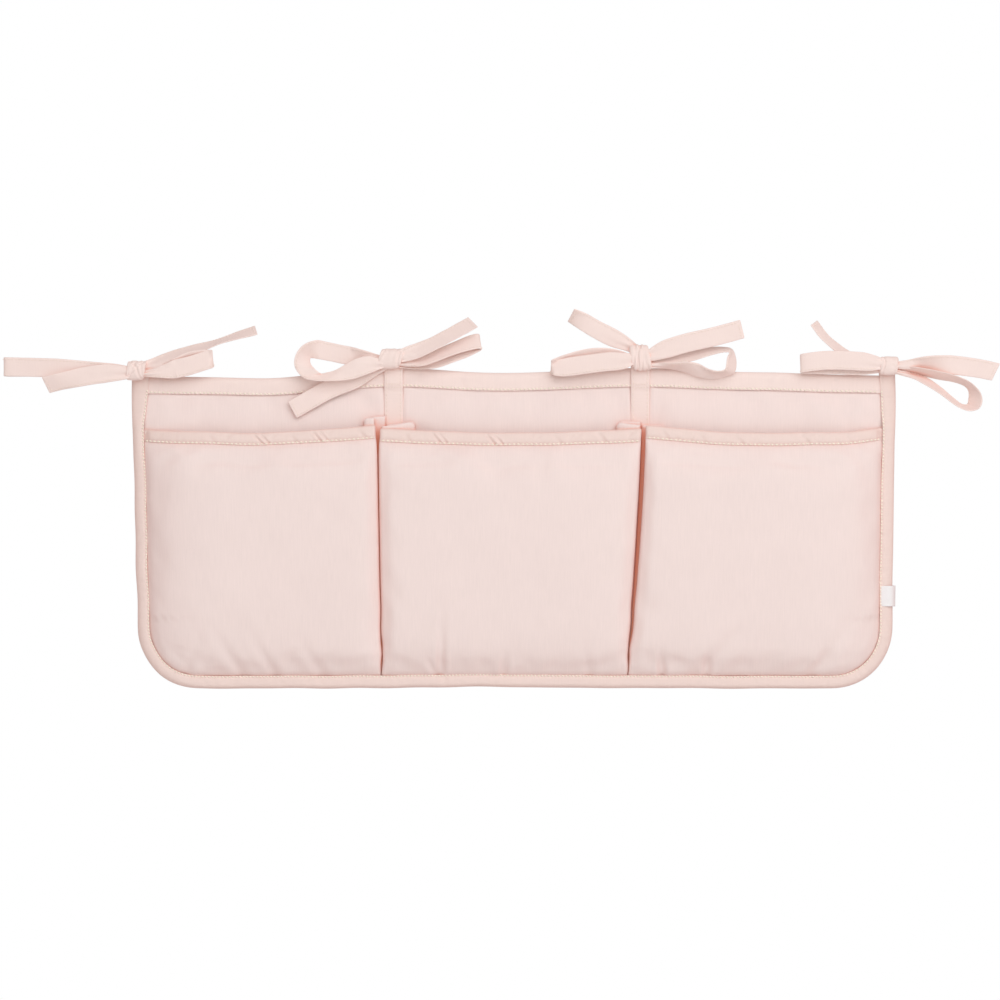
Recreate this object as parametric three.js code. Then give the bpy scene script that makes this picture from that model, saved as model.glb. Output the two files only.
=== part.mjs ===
// Hanging pocket organiser of padded cotton: a bound back panel, three padded pockets with pleated
// sides, and four ties knotted into bows.
// Lengths are in millimetres. X runs along the panel, -Y points to the front and +Z up. The origin is
// midway between the ties, on the plane that the back rests against, at the height of the outer ties.
// A depth is measured forward from that plane, so a point's y is minus its depth.
import * as THREE from "three";

// Cloth and seams
const gap = 0.3;
const softGap = 0.5;
const cloth = 0.6;
const tape = 0.9;

// Panel
const panelWidth = 600;
const panelHeight = 246;
const cornerRadius = 38;
const sideLean = 5;
const edgeBindingWidth = 10.5;
const topBindingWidth = 14;
const edgeWadding = 3;
const panelPuff = 3;
const panelPuffRamp = 24;
const backRamp = 8;
const bottomRowStep = 3;

// The top edge rises at the inner ties, which are set a little to the right
const innerTieX = 97;
const innerTieShift = 2;
const innerLift = 6.3;
const middleLift = 2.4;
const leftBayLift = -1.6;
const rightBayLift = 2.6;
const liftFade = 85;

// Straps of the ties, sewn flat on the panel
const strapWidth = 14.5;
const strapThickness = 1.2;
const strapBottomZ = -36;
const strapDipMargin = 0.75;
const strapDipRamp = 14;
const outerTieInset = 5;

// Pockets
const mouthBindingWidth = 10;
const pocketStand = 9;
const dividerStand = 7.6;
const sewnRamp = 70;
const pleatStack = 2.6;
const pocketEdgeWadding = 1.2;
const pocketPuff = 3.4;
const pocketPuffRamp = 26;
const pleatDepth = 18;
const pleatRise = 4.5;
const pleatTipShare = 0.6;
const driftPower = 1.5;
const risePower = 2.2;
const dividerLeftX = -105.5;
const dividerRightX = 101.5;
const dividerRightDrift = -9.5;
const slitTop = 4.2;
const slitBottom = 1.4;
const pocketSizes = {
  left: { mouthDrop: 41.5, mouthSag: 2.5 },
  middle: { mouthDrop: 44.5, mouthSag: 1.4 },
  right: { mouthDrop: 42, mouthSag: 4 },
};

// Label folded round the right edge
const labelHeight = 16;
const labelWidth = 10.2;
const labelThickness = 0.5;
const labelZ = -173;

// Bows
const ribbonWidth = 15;
const ribbonThickness = 1;
const knotDepth = 12;
const knotEndShare = 0.62;
const knotSides = 12;
const gatherShare = 0.55;
const gatherLength = 26;

// Bows: the height of each knot over the line of the outer ties, the size of the knot, and the reach
// of each loop and end from its middle
const bowSizes = {
  outer_left: {
    rise: 3.2,
    knotWidth: 16.5,
    knotHeight: 17,
    tail_left: 70,
    loop_left: 105,
    tail_right: 94,
    loop_right: 60,
  },
  inner_left: {
    rise: 12.6,
    knotWidth: 20,
    knotHeight: 17,
    tail_left: 77,
    loop_left: 75,
    tail_right: 66,
    loop_right: 71,
  },
  inner_right: {
    rise: 13.4,
    knotWidth: 16.5,
    knotHeight: 22,
    tail_left: 55,
    loop_left: 70,
    tail_right: 80,
    loop_right: 74,
  },
  outer_right: {
    rise: 7.5,
    knotWidth: 14.5,
    knotHeight: 15.5,
    tail_left: 61,
    loop_left: 72,
    tail_right: 82,
    loop_right: 70,
  },
};

// Colours
const cottonColour = 0xf1e0d8;
const tieColour = 0xf5e3da;
const liningColour = 0xe9cfc3;
const waddingColour = 0xf7f5f2;
const labelColour = 0xf4f2f2;

const panelHalf = panelWidth / 2;
const outerTieX = panelHalf - outerTieInset;
const strapDipHalf = strapWidth / 2 + innerTieShift + strapDipMargin;
const layerInset = tape + gap;
const marginWidth = edgeBindingWidth + gap;
const topMargin = topBindingWidth + gap;
const edgeDepth = layerInset + cloth + gap + edgeWadding + gap + cloth;
const bindingDepth = edgeDepth + gap + tape;
const strapBack = bindingDepth + gap;
const knotBack = strapBack + strapThickness + gap;
const bowDepth = knotBack + knotDepth / 2;
const strapPuffShare = (bindingDepth - edgeDepth) / panelPuff;

const group = new THREE.Group();

const ramp = (x, length) => THREE.MathUtils.clamp(x / length, 0, 1);
const ease = (x, length) => Math.sin((ramp(x, length) * Math.PI) / 2);
const mix = THREE.MathUtils.lerp;
const span = (count) => Array.from({ length: count + 1 }, (_, i) => i / count);

// Sewn shape of the flat panel: x and z of a point of the flat pattern, at a depth
const liftStations = [
  { x: -panelHalf, lift: 0 },
  { x: -(panelHalf + innerTieX) / 2, lift: leftBayLift },
  { x: -innerTieX, lift: innerLift },
  { x: 0, lift: middleLift },
  { x: innerTieX, lift: innerLift },
  { x: (panelHalf + innerTieX) / 2, lift: rightBayLift },
  { x: panelHalf, lift: 0 },
];

function liftAt(x) {
  const after = liftStations.findIndex((station) => station.x > x);
  if (after <= 0) return 0;
  const [a, b] = [liftStations[after - 1], liftStations[after]];
  return mix(a.lift, b.lift, THREE.MathUtils.smoothstep(x, a.x, b.x));
}

function sewn(x, depth, z) {
  const lean = 1 - (sideLean / panelHalf) * ramp(-z, panelHeight);
  const lift = liftAt(x) * (1 - ramp(-z, liftFade));
  return new THREE.Vector3(x * lean, -depth, z + lift);
}

// Bodies

// A closed body between two grids of points that have the same rows and columns.
function slab(front, back) {
  const rows = front.length;
  const columns = front[0].length;
  const points = [...front.flat(), ...back.flat()];
  const index = [];
  const at = (side, row, column) => (side * rows + row) * columns + column;
  const quad = (a, b, c, d) => index.push(a, b, c, a, c, d);
  for (let r = 0; r < rows - 1; r++) {
    for (let c = 0; c < columns - 1; c++) {
      quad(at(0, r, c), at(0, r, c + 1), at(0, r + 1, c + 1), at(0, r + 1, c));
      quad(at(1, r, c), at(1, r + 1, c), at(1, r + 1, c + 1), at(1, r, c + 1));
    }
    const last = columns - 1;
    quad(at(0, r, 0), at(0, r + 1, 0), at(1, r + 1, 0), at(1, r, 0));
    quad(at(0, r, last), at(1, r, last), at(1, r + 1, last), at(0, r + 1, last));
  }
  for (let c = 0; c < columns - 1; c++) {
    const last = rows - 1;
    quad(at(0, 0, c), at(1, 0, c), at(1, 0, c + 1), at(0, 0, c + 1));
    quad(at(0, last, c), at(0, last, c + 1), at(1, last, c + 1), at(1, last, c));
  }
  return facingOut(points, index);
}

function facingOut(points, index) {
  let volume = 0;
  const normal = new THREE.Vector3();
  for (let i = 0; i < index.length; i += 3) {
    const [a, b, c] = [points[index[i]], points[index[i + 1]], points[index[i + 2]]];
    volume += a.dot(normal.crossVectors(b, c));
  }
  if (volume < 0) index.reverse();
  const geometry = new THREE.BufferGeometry().setFromPoints(points);
  geometry.setIndex(index);
  geometry.computeVertexNormals();
  return geometry;
}

function add(name, geometry, color, roughness = 0.9) {
  const material = new THREE.MeshStandardMaterial({ color, roughness, metalness: 0 });
  const mesh = new THREE.Mesh(geometry, material);
  mesh.name = name;
  group.add(mesh);
}

// Panel

const cornerX = panelHalf - cornerRadius;
const cornerZ = cornerRadius - panelHeight;

// How far inside the sides and the bottom a point of the flat pattern lies.
function insideEdge(x, z) {
  const dx = Math.abs(x) - cornerX;
  const dz = cornerZ - z;
  if (dx > 0 && dz > 0) return cornerRadius - Math.hypot(dx, dz);
  return cornerRadius - Math.max(dx, dz);
}

// Columns that the layers and the bindings share: the corner's first angles end at the margin.
const marginAngle = Math.asin((cornerRadius - marginWidth) / (cornerRadius - layerInset));
const cornerAngles = [0, marginAngle / 2, marginAngle, (marginAngle + Math.PI / 2) / 2, Math.PI / 2];
const cornerColumns = cornerAngles.map((a) => cornerX + (cornerRadius - layerInset) * Math.sin(a));
const strapColumns = [
  innerTieX - strapDipHalf - strapDipRamp,
  innerTieX - strapDipHalf,
  innerTieX + strapDipHalf,
  innerTieX + strapDipHalf + strapDipRamp,
];
const bayShares = [0.3, 0.62];
const bayColumns = bayShares.map((share) => mix(strapColumns[3], cornerX, share));
const middleColumns = [strapColumns[0] / 2];
const rightColumns = [...middleColumns, ...strapColumns, ...bayColumns, ...cornerColumns];
const panelColumns = [...rightColumns.map((x) => -x).reverse(), 0, ...rightColumns];

// Height of a line that runs inside the bottom edge, round the corners; columns that the line
// doesn't reach take heights spread above the corner's centre.
function bottomLine(x, inside, order) {
  const radius = cornerRadius - inside;
  const dx = Math.max(0, Math.abs(x) - cornerX);
  if (dx > radius + gap / 2) return cornerZ + order * bottomRowStep;
  return cornerZ - Math.sqrt(Math.max(0, radius * radius - dx * dx));
}

const panelTopRows = [layerInset, topMargin, topMargin + backRamp, topMargin + panelPuffRamp];
const panelBottomRows = [marginWidth + panelPuffRamp, marginWidth + backRamp, marginWidth, layerInset];
const middleRowShares = [0.35, 0.7];

function panelRows(x) {
  const top = panelTopRows.map((drop) => -drop);
  const bottom = panelBottomRows.map((inside, i) => {
    const order = panelBottomRows.length - 1 - i;
    return bottomLine(x, inside, order);
  });
  const middle = middleRowShares.map((share) => mix(top.at(-1), bottom[0], share));
  return [...top, ...middle, ...bottom];
}

// Front of the panel: pressed flat under the bindings and the straps, puffed between them.
function panelFront(x, z) {
  const sides = ease(insideEdge(x, z) - marginWidth, panelPuffRamp);
  const top = ease(-z - topMargin, panelPuffRamp);
  const besideStrap = ramp(Math.abs(Math.abs(x) - innerTieX) - strapDipHalf, strapDipRamp);
  const pressed = (1 - besideStrap) * (1 - ramp(strapBottomZ - z, panelPuffRamp));
  const puff = Math.min(sides * top, mix(1, strapPuffShare, pressed));
  return edgeDepth + panelPuff * puff;
}

// Back of the panel: flat, and set in under the back legs of the bindings.
function panelBack(x, z) {
  const sides = ramp(insideEdge(x, z) - marginWidth, backRamp);
  const top = ramp(-z - topMargin, backRamp);
  return layerInset * (1 - Math.min(sides, top));
}

function panelGrid(depthAt) {
  return panelColumns.map((x) => panelRows(x).map((z) => sewn(x, depthAt(x, z), z)));
}

const panelLayers = {
  back_cover: [(x, z) => panelBack(x, z) + cloth, panelBack, cottonColour],
  panel_wadding: [
    (x, z) => panelFront(x, z) - cloth - gap,
    (x, z) => panelBack(x, z) + cloth + gap,
    waddingColour,
  ],
  front_cover: [panelFront, (x, z) => panelFront(x, z) - cloth, cottonColour],
};
for (const [name, [front, back, colour]] of Object.entries(panelLayers)) {
  add(name, slab(panelGrid(front), panelGrid(back)), colour);
}

// Section of a tape folded round an edge, as [inside the edge, depth] pairs from the front leg's lip
// to the back leg's lip: its outer face, then its inner face.
function foldedTape(width, frontDepth, backDepth) {
  const round = layerInset;
  const outer = [
    [width, frontDepth],
    [round, frontDepth],
    [0, frontDepth - round],
    [0, backDepth + round],
    [round, backDepth],
    [width, backDepth],
  ];
  const inner = [
    [width, frontDepth - tape],
    [round, frontDepth - tape],
    [tape, frontDepth - round],
    [tape, backDepth + round],
    [round, backDepth + tape],
    [width, backDepth + tape],
  ];
  return [outer, inner];
}

// Outline of the sides and the bottom, from the left top corner round to the right one, as points
// and the directions in from the edge.
function edgePath() {
  const stations = [{ x: -panelHalf, z: 0, inX: 1, inZ: 0 }];
  const left = cornerAngles.map((angle) => [-cornerX, -angle]).reverse();
  const right = cornerAngles.map((angle) => [cornerX, angle]);
  for (const [centreX, angle] of [...left, ...right]) {
    stations.push({
      x: centreX + cornerRadius * Math.sin(angle),
      z: cornerZ - cornerRadius * Math.cos(angle),
      inX: -Math.sin(angle),
      inZ: Math.cos(angle),
    });
  }
  stations.push({ x: panelHalf, z: 0, inX: -1, inZ: 0 });
  return stations;
}

function edgeBinding() {
  const faces = foldedTape(edgeBindingWidth, bindingDepth, 0);
  const grids = faces.map((section) =>
    edgePath().map((station) =>
      section.map(([inside, depth]) =>
        sewn(station.x + inside * station.inX, depth, station.z + inside * station.inZ),
      ),
    ),
  );
  return slab(grids[0], grids[1]);
}
add("edge_binding", edgeBinding(), cottonColour);

function topBinding() {
  const reach = panelHalf - marginWidth;
  const inner = panelColumns.filter((x) => Math.abs(x) < reach - gap);
  const columns = [-reach, ...inner, reach];
  const faces = foldedTape(topBindingWidth, bindingDepth, 0);
  const grids = faces.map((section) =>
    columns.map((x) => section.map(([inside, depth]) => sewn(x, depth, -inside))),
  );
  return slab(grids[0], grids[1]);
}
add("top_binding", topBinding(), cottonColour);

// A small tape folded over the right edge, its front leaf on the binding.
function sideLabel() {
  const front = bindingDepth + gap;
  const outer = [
    [labelWidth, front + labelThickness],
    [-gap, front + labelThickness],
    [-gap - labelThickness, front],
    [-gap - labelThickness, layerInset],
  ];
  const inner = [
    [labelWidth, front],
    [0, front],
    [-gap, front - gap],
    [-gap, layerInset],
  ];
  const rows = [labelZ + labelHeight / 2, labelZ - labelHeight / 2];
  const grids = [outer, inner].map((section) =>
    rows.map((z) => section.map(([inside, depth]) => sewn(panelHalf - inside, depth, z))),
  );
  return slab(grids[0], grids[1]);
}
add("side_label", sideLabel(), labelColour, 0.7);

// Pockets

// Each divider: where its seam is at the mouth, and how far it drifts toward the bottom.
const dividers = {
  left: { x: dividerLeftX, drift: 0, slitPower: 3 },
  right: { x: dividerRightX, drift: dividerRightDrift, slitPower: 1 },
};
const pocketReach = panelHalf - marginWidth;

// Share of the way down from the tie line to the bottom lip.
const downShare = (z) => ramp(-z, panelHeight - marginWidth);

function dividerX(divider, z) {
  return divider.x + divider.drift * Math.pow(downShare(z), driftPower);
}

function foldX(divider, side, z) {
  const slit = mix(slitBottom, slitTop, Math.pow(1 - downShare(z), divider.slitPower));
  return dividerX(divider, z) + (side * slit) / 2;
}

const pockets = {
  left: {
    ...pocketSizes.left,
    leftX: () => -pocketReach,
    rightX: (z) => foldX(dividers.left, -1, z),
    sewnSide: -1,
    folds: [{ divider: dividers.left, side: -1, pleat: "pleat_left_inner" }],
  },
  middle: {
    ...pocketSizes.middle,
    leftX: (z) => foldX(dividers.left, 1, z),
    rightX: (z) => foldX(dividers.right, -1, z),
    sewnSide: 0,
    folds: [
      { divider: dividers.left, side: 1, pleat: "pleat_middle_left" },
      { divider: dividers.right, side: -1, pleat: "pleat_middle_right" },
    ],
  },
  right: {
    ...pocketSizes.right,
    leftX: (z) => foldX(dividers.right, 1, z),
    rightX: () => pocketReach,
    sewnSide: 1,
    folds: [{ divider: dividers.right, side: 1, pleat: "pleat_right_inner" }],
  },
};

const pocketColumnShares = [0, 0.035, 0.09, 0.2, 0.4, 0.6, 0.8, 0.91, 0.965, 1];
const pocketRowShares = [0.06, 0.16, 0.38, 0.62, 0.82, 0.93, 1];

// The flat points of a pocket's grid, with what its depths depend on.
function pocketPoints(pocket) {
  return pocketColumnShares.map((across) => {
    const columnX = (z) => mix(pocket.leftX(z), pocket.rightX(z), across);
    const mouth = -pocket.mouthDrop - pocket.mouthSag * 4 * across * (1 - across);
    const zoneEnd = mouth - mouthBindingWidth - gap;
    const lowest = bottomLine(columnX(cornerZ), marginWidth, 1) + softGap;
    const rows = [mouth - layerInset, zoneEnd];
    for (const share of pocketRowShares) rows.push(mix(zoneEnd, lowest, share));
    return rows.map((z, i) => ({
      x: columnX(z),
      z,
      seatZ: Math.min(z, zoneEnd),
      down: i < 2 ? 0 : pocketRowShares[i - 2],
      mouth,
      zoneEnd,
      lowest,
    }));
  });
}

// Depth of a pocket's back: on the panel at the bottom and along a sewn side, standing off at the mouth.
function pocketBack(pocket, point) {
  const rise = 1 - Math.pow(point.down, risePower);
  const fromSewn = pocket.sewnSide ? pocketReach - pocket.sewnSide * point.x : sewnRamp;
  const nearFold = pocket.folds.map(({ divider, side }) => {
    const distance = Math.abs(point.x - foldX(divider, side, point.z));
    return 1 - ramp(distance - pleatDepth - tape, pleatDepth);
  });
  const fold = Math.max(0, ...nearFold);
  const stand = mix(pocketStand, dividerStand, fold) * ease(fromSewn, sewnRamp) * rise;
  const least = Math.max(pleatStack * fold, layerInset * (1 - ramp(point.down, pocketRowShares[0])));
  return panelFront(point.x, point.seatZ) + softGap + Math.max(stand, least);
}

// Thickness of a pocket's wadding: thin under the tape and at the edges, full in the middle.
function pocketWadding(pocket, point) {
  const fromLeft = point.x - pocket.leftX(point.z);
  const fromRight = pocket.rightX(point.z) - point.x;
  const fromMouth = point.zoneEnd - point.z;
  const fromBottom = point.z - point.lowest;
  const shares = [fromLeft, fromRight, fromMouth, fromBottom].map((d) => ease(d, pocketPuffRamp));
  return pocketEdgeWadding + pocketPuff * shares.reduce((product, share) => product * share, 1);
}

function pocketSheet(pocket, frontAt, backAt) {
  const points = pocketPoints(pocket);
  const grid = (depthAt) =>
    points.map((column) =>
      column.map((p) => {
        const depth = pocketBack(pocket, p) + depthAt(pocketWadding(pocket, p));
        return sewn(p.x, depth, p.z);
      }),
    );
  return slab(grid(frontAt), grid(backAt));
}

// The tape folded over a pocket's mouth follows the layers' columns.
function mouthBinding(pocket) {
  const sections = pocketPoints(pocket).map((column) => {
    const back = pocketBack(pocket, column[0]);
    const layers = cloth + gap + pocketWadding(pocket, column[0]) + gap + cloth;
    const front = back + layers + layerInset;
    const faces = foldedTape(mouthBindingWidth, front, back - layerInset);
    return { topX: column[0].x, lipX: column[1].x, mouth: column[0].mouth, faces };
  });
  const grid = (face) =>
    sections.map(({ topX, lipX, mouth, faces }) =>
      faces[face].map(([inside, depth]) =>
        sewn(mix(topX, lipX, inside / mouthBindingWidth), depth, mouth - inside),
      ),
    );
  return slab(grid(0), grid(1));
}

for (const [name, pocket] of Object.entries(pockets)) {
  const toWadding = cloth + gap;
  const past = (wadding) => toWadding + wadding;
  add(`pocket_${name}_lining`, pocketSheet(pocket, () => cloth, () => 0), liningColour);
  add(`pocket_${name}_wadding`, pocketSheet(pocket, past, () => toWadding), waddingColour);
  add(
    `pocket_${name}_face`,
    pocketSheet(pocket, (w) => past(w) + gap + cloth, (w) => past(w) + gap),
    cottonColour,
  );
  add(`pocket_${name}_binding`, mouthBinding(pocket), cottonColour);
}

// Pleats: from the pocket's fold in behind it, and back out to the seam on the panel.
const pleatRowShares = [0, 0.05, 0.2, 0.45, 0.7, 0.9, 1];
function pleat(pocket, { divider, side }) {
  const topZ = -pocket.mouthDrop + pleatRise;
  const lowest = marginWidth - panelHeight + softGap;
  const rowsOuter = [];
  const rowsInner = [];
  for (const share of pleatRowShares) {
    const z = mix(topZ, lowest, share);
    const zoneEnd = -pocket.mouthDrop - mouthBindingWidth - gap;
    const down = ramp(zoneEnd - z, zoneEnd - lowest);
    const fold = foldX(divider, side, z) + side * gap;
    const bend = fold + side * pleatDepth;
    const seam = dividerX(divider, z) + (side * slitBottom) / 2;
    const at = (x) => ({ x, z, seatZ: Math.min(z, zoneEnd), down });
    const behind = Math.min(pocketBack(pocket, at(fold)), pocketBack(pocket, at(bend)));
    const front = behind - softGap - (z > zoneEnd ? layerInset : 0);
    const back = Math.max(panelFront(seam, z), panelFront(bend, z)) + softGap;
    const middle = (front + back) / 2;
    const outer = [
      [fold, front],
      [bend, middle + cloth * pleatTipShare],
      [bend + side * cloth, middle],
      [bend, middle - cloth * pleatTipShare],
      [seam, back],
    ];
    const inner = [
      [fold, front - cloth],
      [bend - side * gap, middle + (cloth * pleatTipShare) / 4],
      [bend - side * gap * 2, middle],
      [bend - side * gap, middle - (cloth * pleatTipShare) / 4],
      [seam, back + cloth],
    ];
    rowsOuter.push(outer.map(([x, depth]) => sewn(x, depth, z)));
    rowsInner.push(inner.map(([x, depth]) => sewn(x, depth, z)));
  }
  return slab(rowsOuter, rowsInner);
}
for (const pocket of Object.values(pockets)) {
  for (const fold of pocket.folds) add(fold.pleat, pleat(pocket, fold), liningColour);
}

// Ties

const tiePlaces = {
  outer_left: -outerTieX,
  inner_left: innerTieShift - innerTieX,
  inner_right: innerTieShift + innerTieX,
  outer_right: outerTieX,
};

// Routes of the loops and free ends. Each row is [out, up, forward, tilt, lean]: out and up are
// shares of the ribbon's reach from the knot's centre, where an out of 0 is the knot's side, forward
// is a share of the knot's depth, and tilt and lean are shares of a quarter turn, of the ribbon's
// width outward and forward.
const bowRouteShares = {
  outer_left: {
    tail_left: [
      [0, -0.02, 0.36, 0, 0],
      [0.3, -0.02, 0.4, 0, 0],
      [0.5, -0.03, 0.45, 0.05, 0],
      [0.75, -0.1, 0.5, 0.15, 0],
      [1, -0.16, 0.55, 0.25, 0],
    ],
    loop_left: [
      [0, 0.01, 0.12, 0, 0],
      [0.3, 0.03, 0.12, 0, 0],
      [0.6, 0.04, 0.15, 0, 0],
      [0.9, 0.04, 0.1, 0, 0],
      [1, 0.035, -0.15, 0, 0],
      [0.9, 0.03, -0.4, 0, 0],
      [0.6, 0.03, -0.35, 0, 0],
      [0.3, 0.03, -0.25, 0, 0],
      [0, 0.02, -0.18, 0, 0],
    ],
    tail_right: [
      [0, 0.035, -0.05, -0.1, 0.1],
      [0.29, 0.13, -0.3, -0.25, 0.3],
      [0.53, 0.205, -0.35, -0.2, 0.55],
      [0.75, 0.27, -0.3, -0.2, 0.6],
      [1, 0.345, -0.2, -0.2, 0.5],
    ],
    loop_right: [
      [0, -0.03, 0.36, 0, 0],
      [0.5, -0.01, 0.75, -0.1, 0],
      [0.85, 0.09, 0.85, -0.1, 0.1],
      [1, 0.15, 0.6, -0.05, 0],
      [0.85, 0.13, 0.35, -0.1, 0],
      [0.5, 0.06, 0.25, -0.1, 0],
      [0, 0, 0.14, 0, 0],
    ],
  },
  inner_left: {
    loop_left: [
      [0, 0.04, 0.1, 0, 0],
      [0.48, 0.05, 0.2, 0, 0],
      [0.76, 0.1, 0.25, 0, 0.1],
      [0.94, 0.07, 0.35, 0.2, 0.3],
      [1, -0.03, 0.5, 0.3, 0.5],
      [0.88, -0.14, 0.7, 0.2, 0.6],
      [0.67, -0.19, 0.75, 0, 0.65],
      [0.46, -0.17, 0.7, 0, 0.5],
      [0.25, -0.12, 0.5, 0, 0.2],
      [0, -0.05, 0.36, 0, 0],
    ],
    tail_left: [
      [0, -0.05, -0.14, 0.1, 0],
      [0.3, -0.17, -0.3, 0.3, 0],
      [0.51, -0.27, -0.36, 0.33, 0],
      [0.74, -0.38, -0.36, 0.33, 0],
      [1, -0.52, -0.36, 0.33, 0],
    ],
    tail_right: [
      [0, 0.04, 0.36, -0.2, 0],
      [0.4, 0.13, 0.5, -0.3, 0.2],
      [0.7, 0.26, 0.45, -0.31, 0.35],
      [1, 0.44, 0.4, -0.31, 0.4],
    ],
    loop_right: [
      [0, -0.02, 0.12, 0, 0],
      [0.5, 0.045, 0.05, -0.1, 0],
      [0.8, 0.13, 0, -0.1, 0],
      [1, 0.2, -0.1, 0, 0],
      [0.8, 0.09, -0.4, -0.1, 0],
      [0.5, -0.01, -0.4, -0.1, 0],
      [0, -0.05, -0.18, 0, 0],
    ],
  },
  inner_right: {
    tail_left: [
      [0, 0.12, -0.1, -0.3, 0],
      [0.4, 0.27, -0.25, -0.36, 0],
      [0.67, 0.42, -0.3, -0.36, 0.1],
      [1, 0.62, -0.25, -0.36, 0.35],
    ],
    loop_left: [
      [0, -0.035, 0.36, 0, 0],
      [0.32, -0.06, 0.5, 0, 0],
      [0.5, -0.065, 0.5, 0, 0],
      [0.85, -0.09, 0.45, 0, 0],
      [1, -0.08, 0.25, 0, 0],
      [0.8, -0.01, 0.05, 0, 0],
      [0.55, 0.03, 0.05, 0, 0],
      [0.3, 0.01, 0.08, 0, 0],
      [0, -0.01, 0.1, 0, 0],
    ],
    tail_right: [
      [0, 0.05, 0.36, -0.1, 0],
      [0.36, 0.13, 0.5, -0.2, 0],
      [0.72, 0.22, 0.5, -0.15, 0],
      [1, 0.29, 0.4, -0.15, 0],
    ],
    loop_right: [
      [0, -0.01, -0.18, 0, 0],
      [0.37, 0.01, -0.3, 0, 0.2],
      [0.63, 0.07, -0.3, 0, 0.3],
      [0.9, 0.1, -0.1, 0, 0.3],
      [1, -0.03, 0.2, 0, 0.2],
      [0.87, -0.16, 0.5, 0, 0.3],
      [0.68, -0.18, 0.5, 0, 0.35],
      [0.42, -0.11, 0.3, 0, 0.2],
      [0, -0.04, 0.12, 0, 0],
    ],
  },
  outer_right: {
    tail_left: [
      [0, 0.03, -0.18, 0, 0],
      [0.39, 0.12, -0.3, -0.2, 0.2],
      [0.63, 0.24, -0.25, -0.4, 0.5],
      [0.86, 0.39, -0.15, -0.5, 0.65],
      [1, 0.55, -0.1, -0.5, 0.65],
    ],
    loop_left: [
      [0, 0.015, 0.36, 0, 0],
      [0.34, 0.02, 0.55, 0, 0],
      [0.66, 0.045, 0.65, 0, 0],
      [0.9, 0.03, 0.5, 0, 0],
      [1, 0.02, 0.3, 0, 0],
      [0.9, 0.01, 0.1, 0, 0],
      [0.66, 0.02, 0.05, 0, 0],
      [0.34, 0.01, 0.08, 0, 0],
      [0, 0, 0.1, 0, 0],
    ],
    tail_right: [
      [0, 0.015, 0.36, 0, 0.1],
      [0.31, 0.03, 0.5, 0, 0.5],
      [0.58, 0.015, 0.55, 0.05, 0.4],
      [0.82, -0.035, 0.5, 0.1, 0.15],
      [1, -0.065, 0.45, 0.2, 0],
    ],
    loop_right: [
      [0, -0.03, -0.18, 0, 0],
      [0.42, -0.085, -0.35, 0.1, 0.4],
      [0.68, -0.15, -0.35, 0.1, 0.6],
      [0.9, -0.22, -0.25, 0.2, 0.45],
      [1, -0.35, 0, 0.3, 0.3],
      [0.86, -0.47, 0.25, 0.3, 0.5],
      [0.65, -0.37, 0.3, 0.2, 0.6],
      [0.4, -0.22, 0.2, 0.1, 0.4],
      [0, -0.08, 0.1, 0, 0],
    ],
  },
};

// A flat ribbon along a route, its width drawn together at the knot.
function ribbon(reach, routeShares, side, centre, knotWidth, steps) {
  const knotSide = knotWidth / 2 + gap;
  const points = routeShares.map(
    ([out, up, forward]) =>
      new THREE.Vector3(
        centre.x + side * Math.max(out * reach, knotSide),
        centre.y - forward * knotDepth,
        centre.z + up * reach,
      ),
  );
  const curve = new THREE.CatmullRomCurve3(points, false, "centripetal");
  const last = routeShares.length - 1;
  const front = [];
  const back = [];
  for (const t of span(steps)) {
    const before = Math.min(Math.floor(t * last), last - 1);
    const part = t * last - before;
    const turn = (column) =>
      (mix(routeShares[before][column], routeShares[before + 1][column], part) * Math.PI) / 2;
    const [tilt, lean] = [turn(3), turn(4)];
    const point = curve.getPoint(t);
    const atKnot = t === 0 || (t === 1 && routeShares[last][0] === 0);
    const tangent = atKnot ? new THREE.Vector3(side, 0, 0) : curve.getTangent(t);
    const across = new THREE.Vector3(
      side * Math.sin(tilt) * Math.cos(lean),
      -Math.sin(lean),
      Math.cos(tilt) * Math.cos(lean),
    );
    across.addScaledVector(tangent, -across.dot(tangent)).normalize();
    const gathered = point.distanceTo(routeShares[last][0] || t < 0.5 ? points[0] : points[last]);
    const half = (ribbonWidth / 2) * mix(gatherShare, 1, ease(gathered, gatherLength));
    const normal = new THREE.Vector3().crossVectors(tangent, across).normalize();
    const row = (offset) =>
      [half, -half].map((reachAcross) =>
        point.clone().addScaledVector(across, reachAcross).addScaledVector(normal, offset),
      );
    front.push(row(ribbonThickness / 2));
    back.push(row(-ribbonThickness / 2));
  }
  return slab(front, back);
}

// The wrap of the knot: a round barrel along X with shallow folds.
const knotProfileShares = [
  [-1, 0],
  [-1, knotEndShare],
  [-0.8, 0.88],
  [-0.3, 1],
  [0, 0.95],
  [0.35, 1],
  [0.8, 0.86],
  [1, knotEndShare],
  [1, 0],
];
function knot(width, height, centre) {
  const profile = knotProfileShares.map(
    ([along, radius]) => new THREE.Vector2((radius * height) / 2, (along * width) / 2),
  );
  const geometry = new THREE.LatheGeometry(profile, knotSides);
  geometry.rotateZ(-Math.PI / 2);
  geometry.scale(1, knotDepth / height, 1);
  geometry.translate(centre.x, centre.y, centre.z);
  return geometry;
}

// The tape sewn down the panel, which ends above the pleats and behind the knot.
function strap(x, rise) {
  const half = strapWidth / 2;
  const bottom = sewn(x, strapBack, strapBottomZ).z;
  const grid = (depth) =>
    [rise, bottom].map((z) => [-half, half].map((dx) => new THREE.Vector3(x + dx, -depth, z)));
  return slab(grid(strapBack + strapThickness), grid(strapBack));
}

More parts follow.
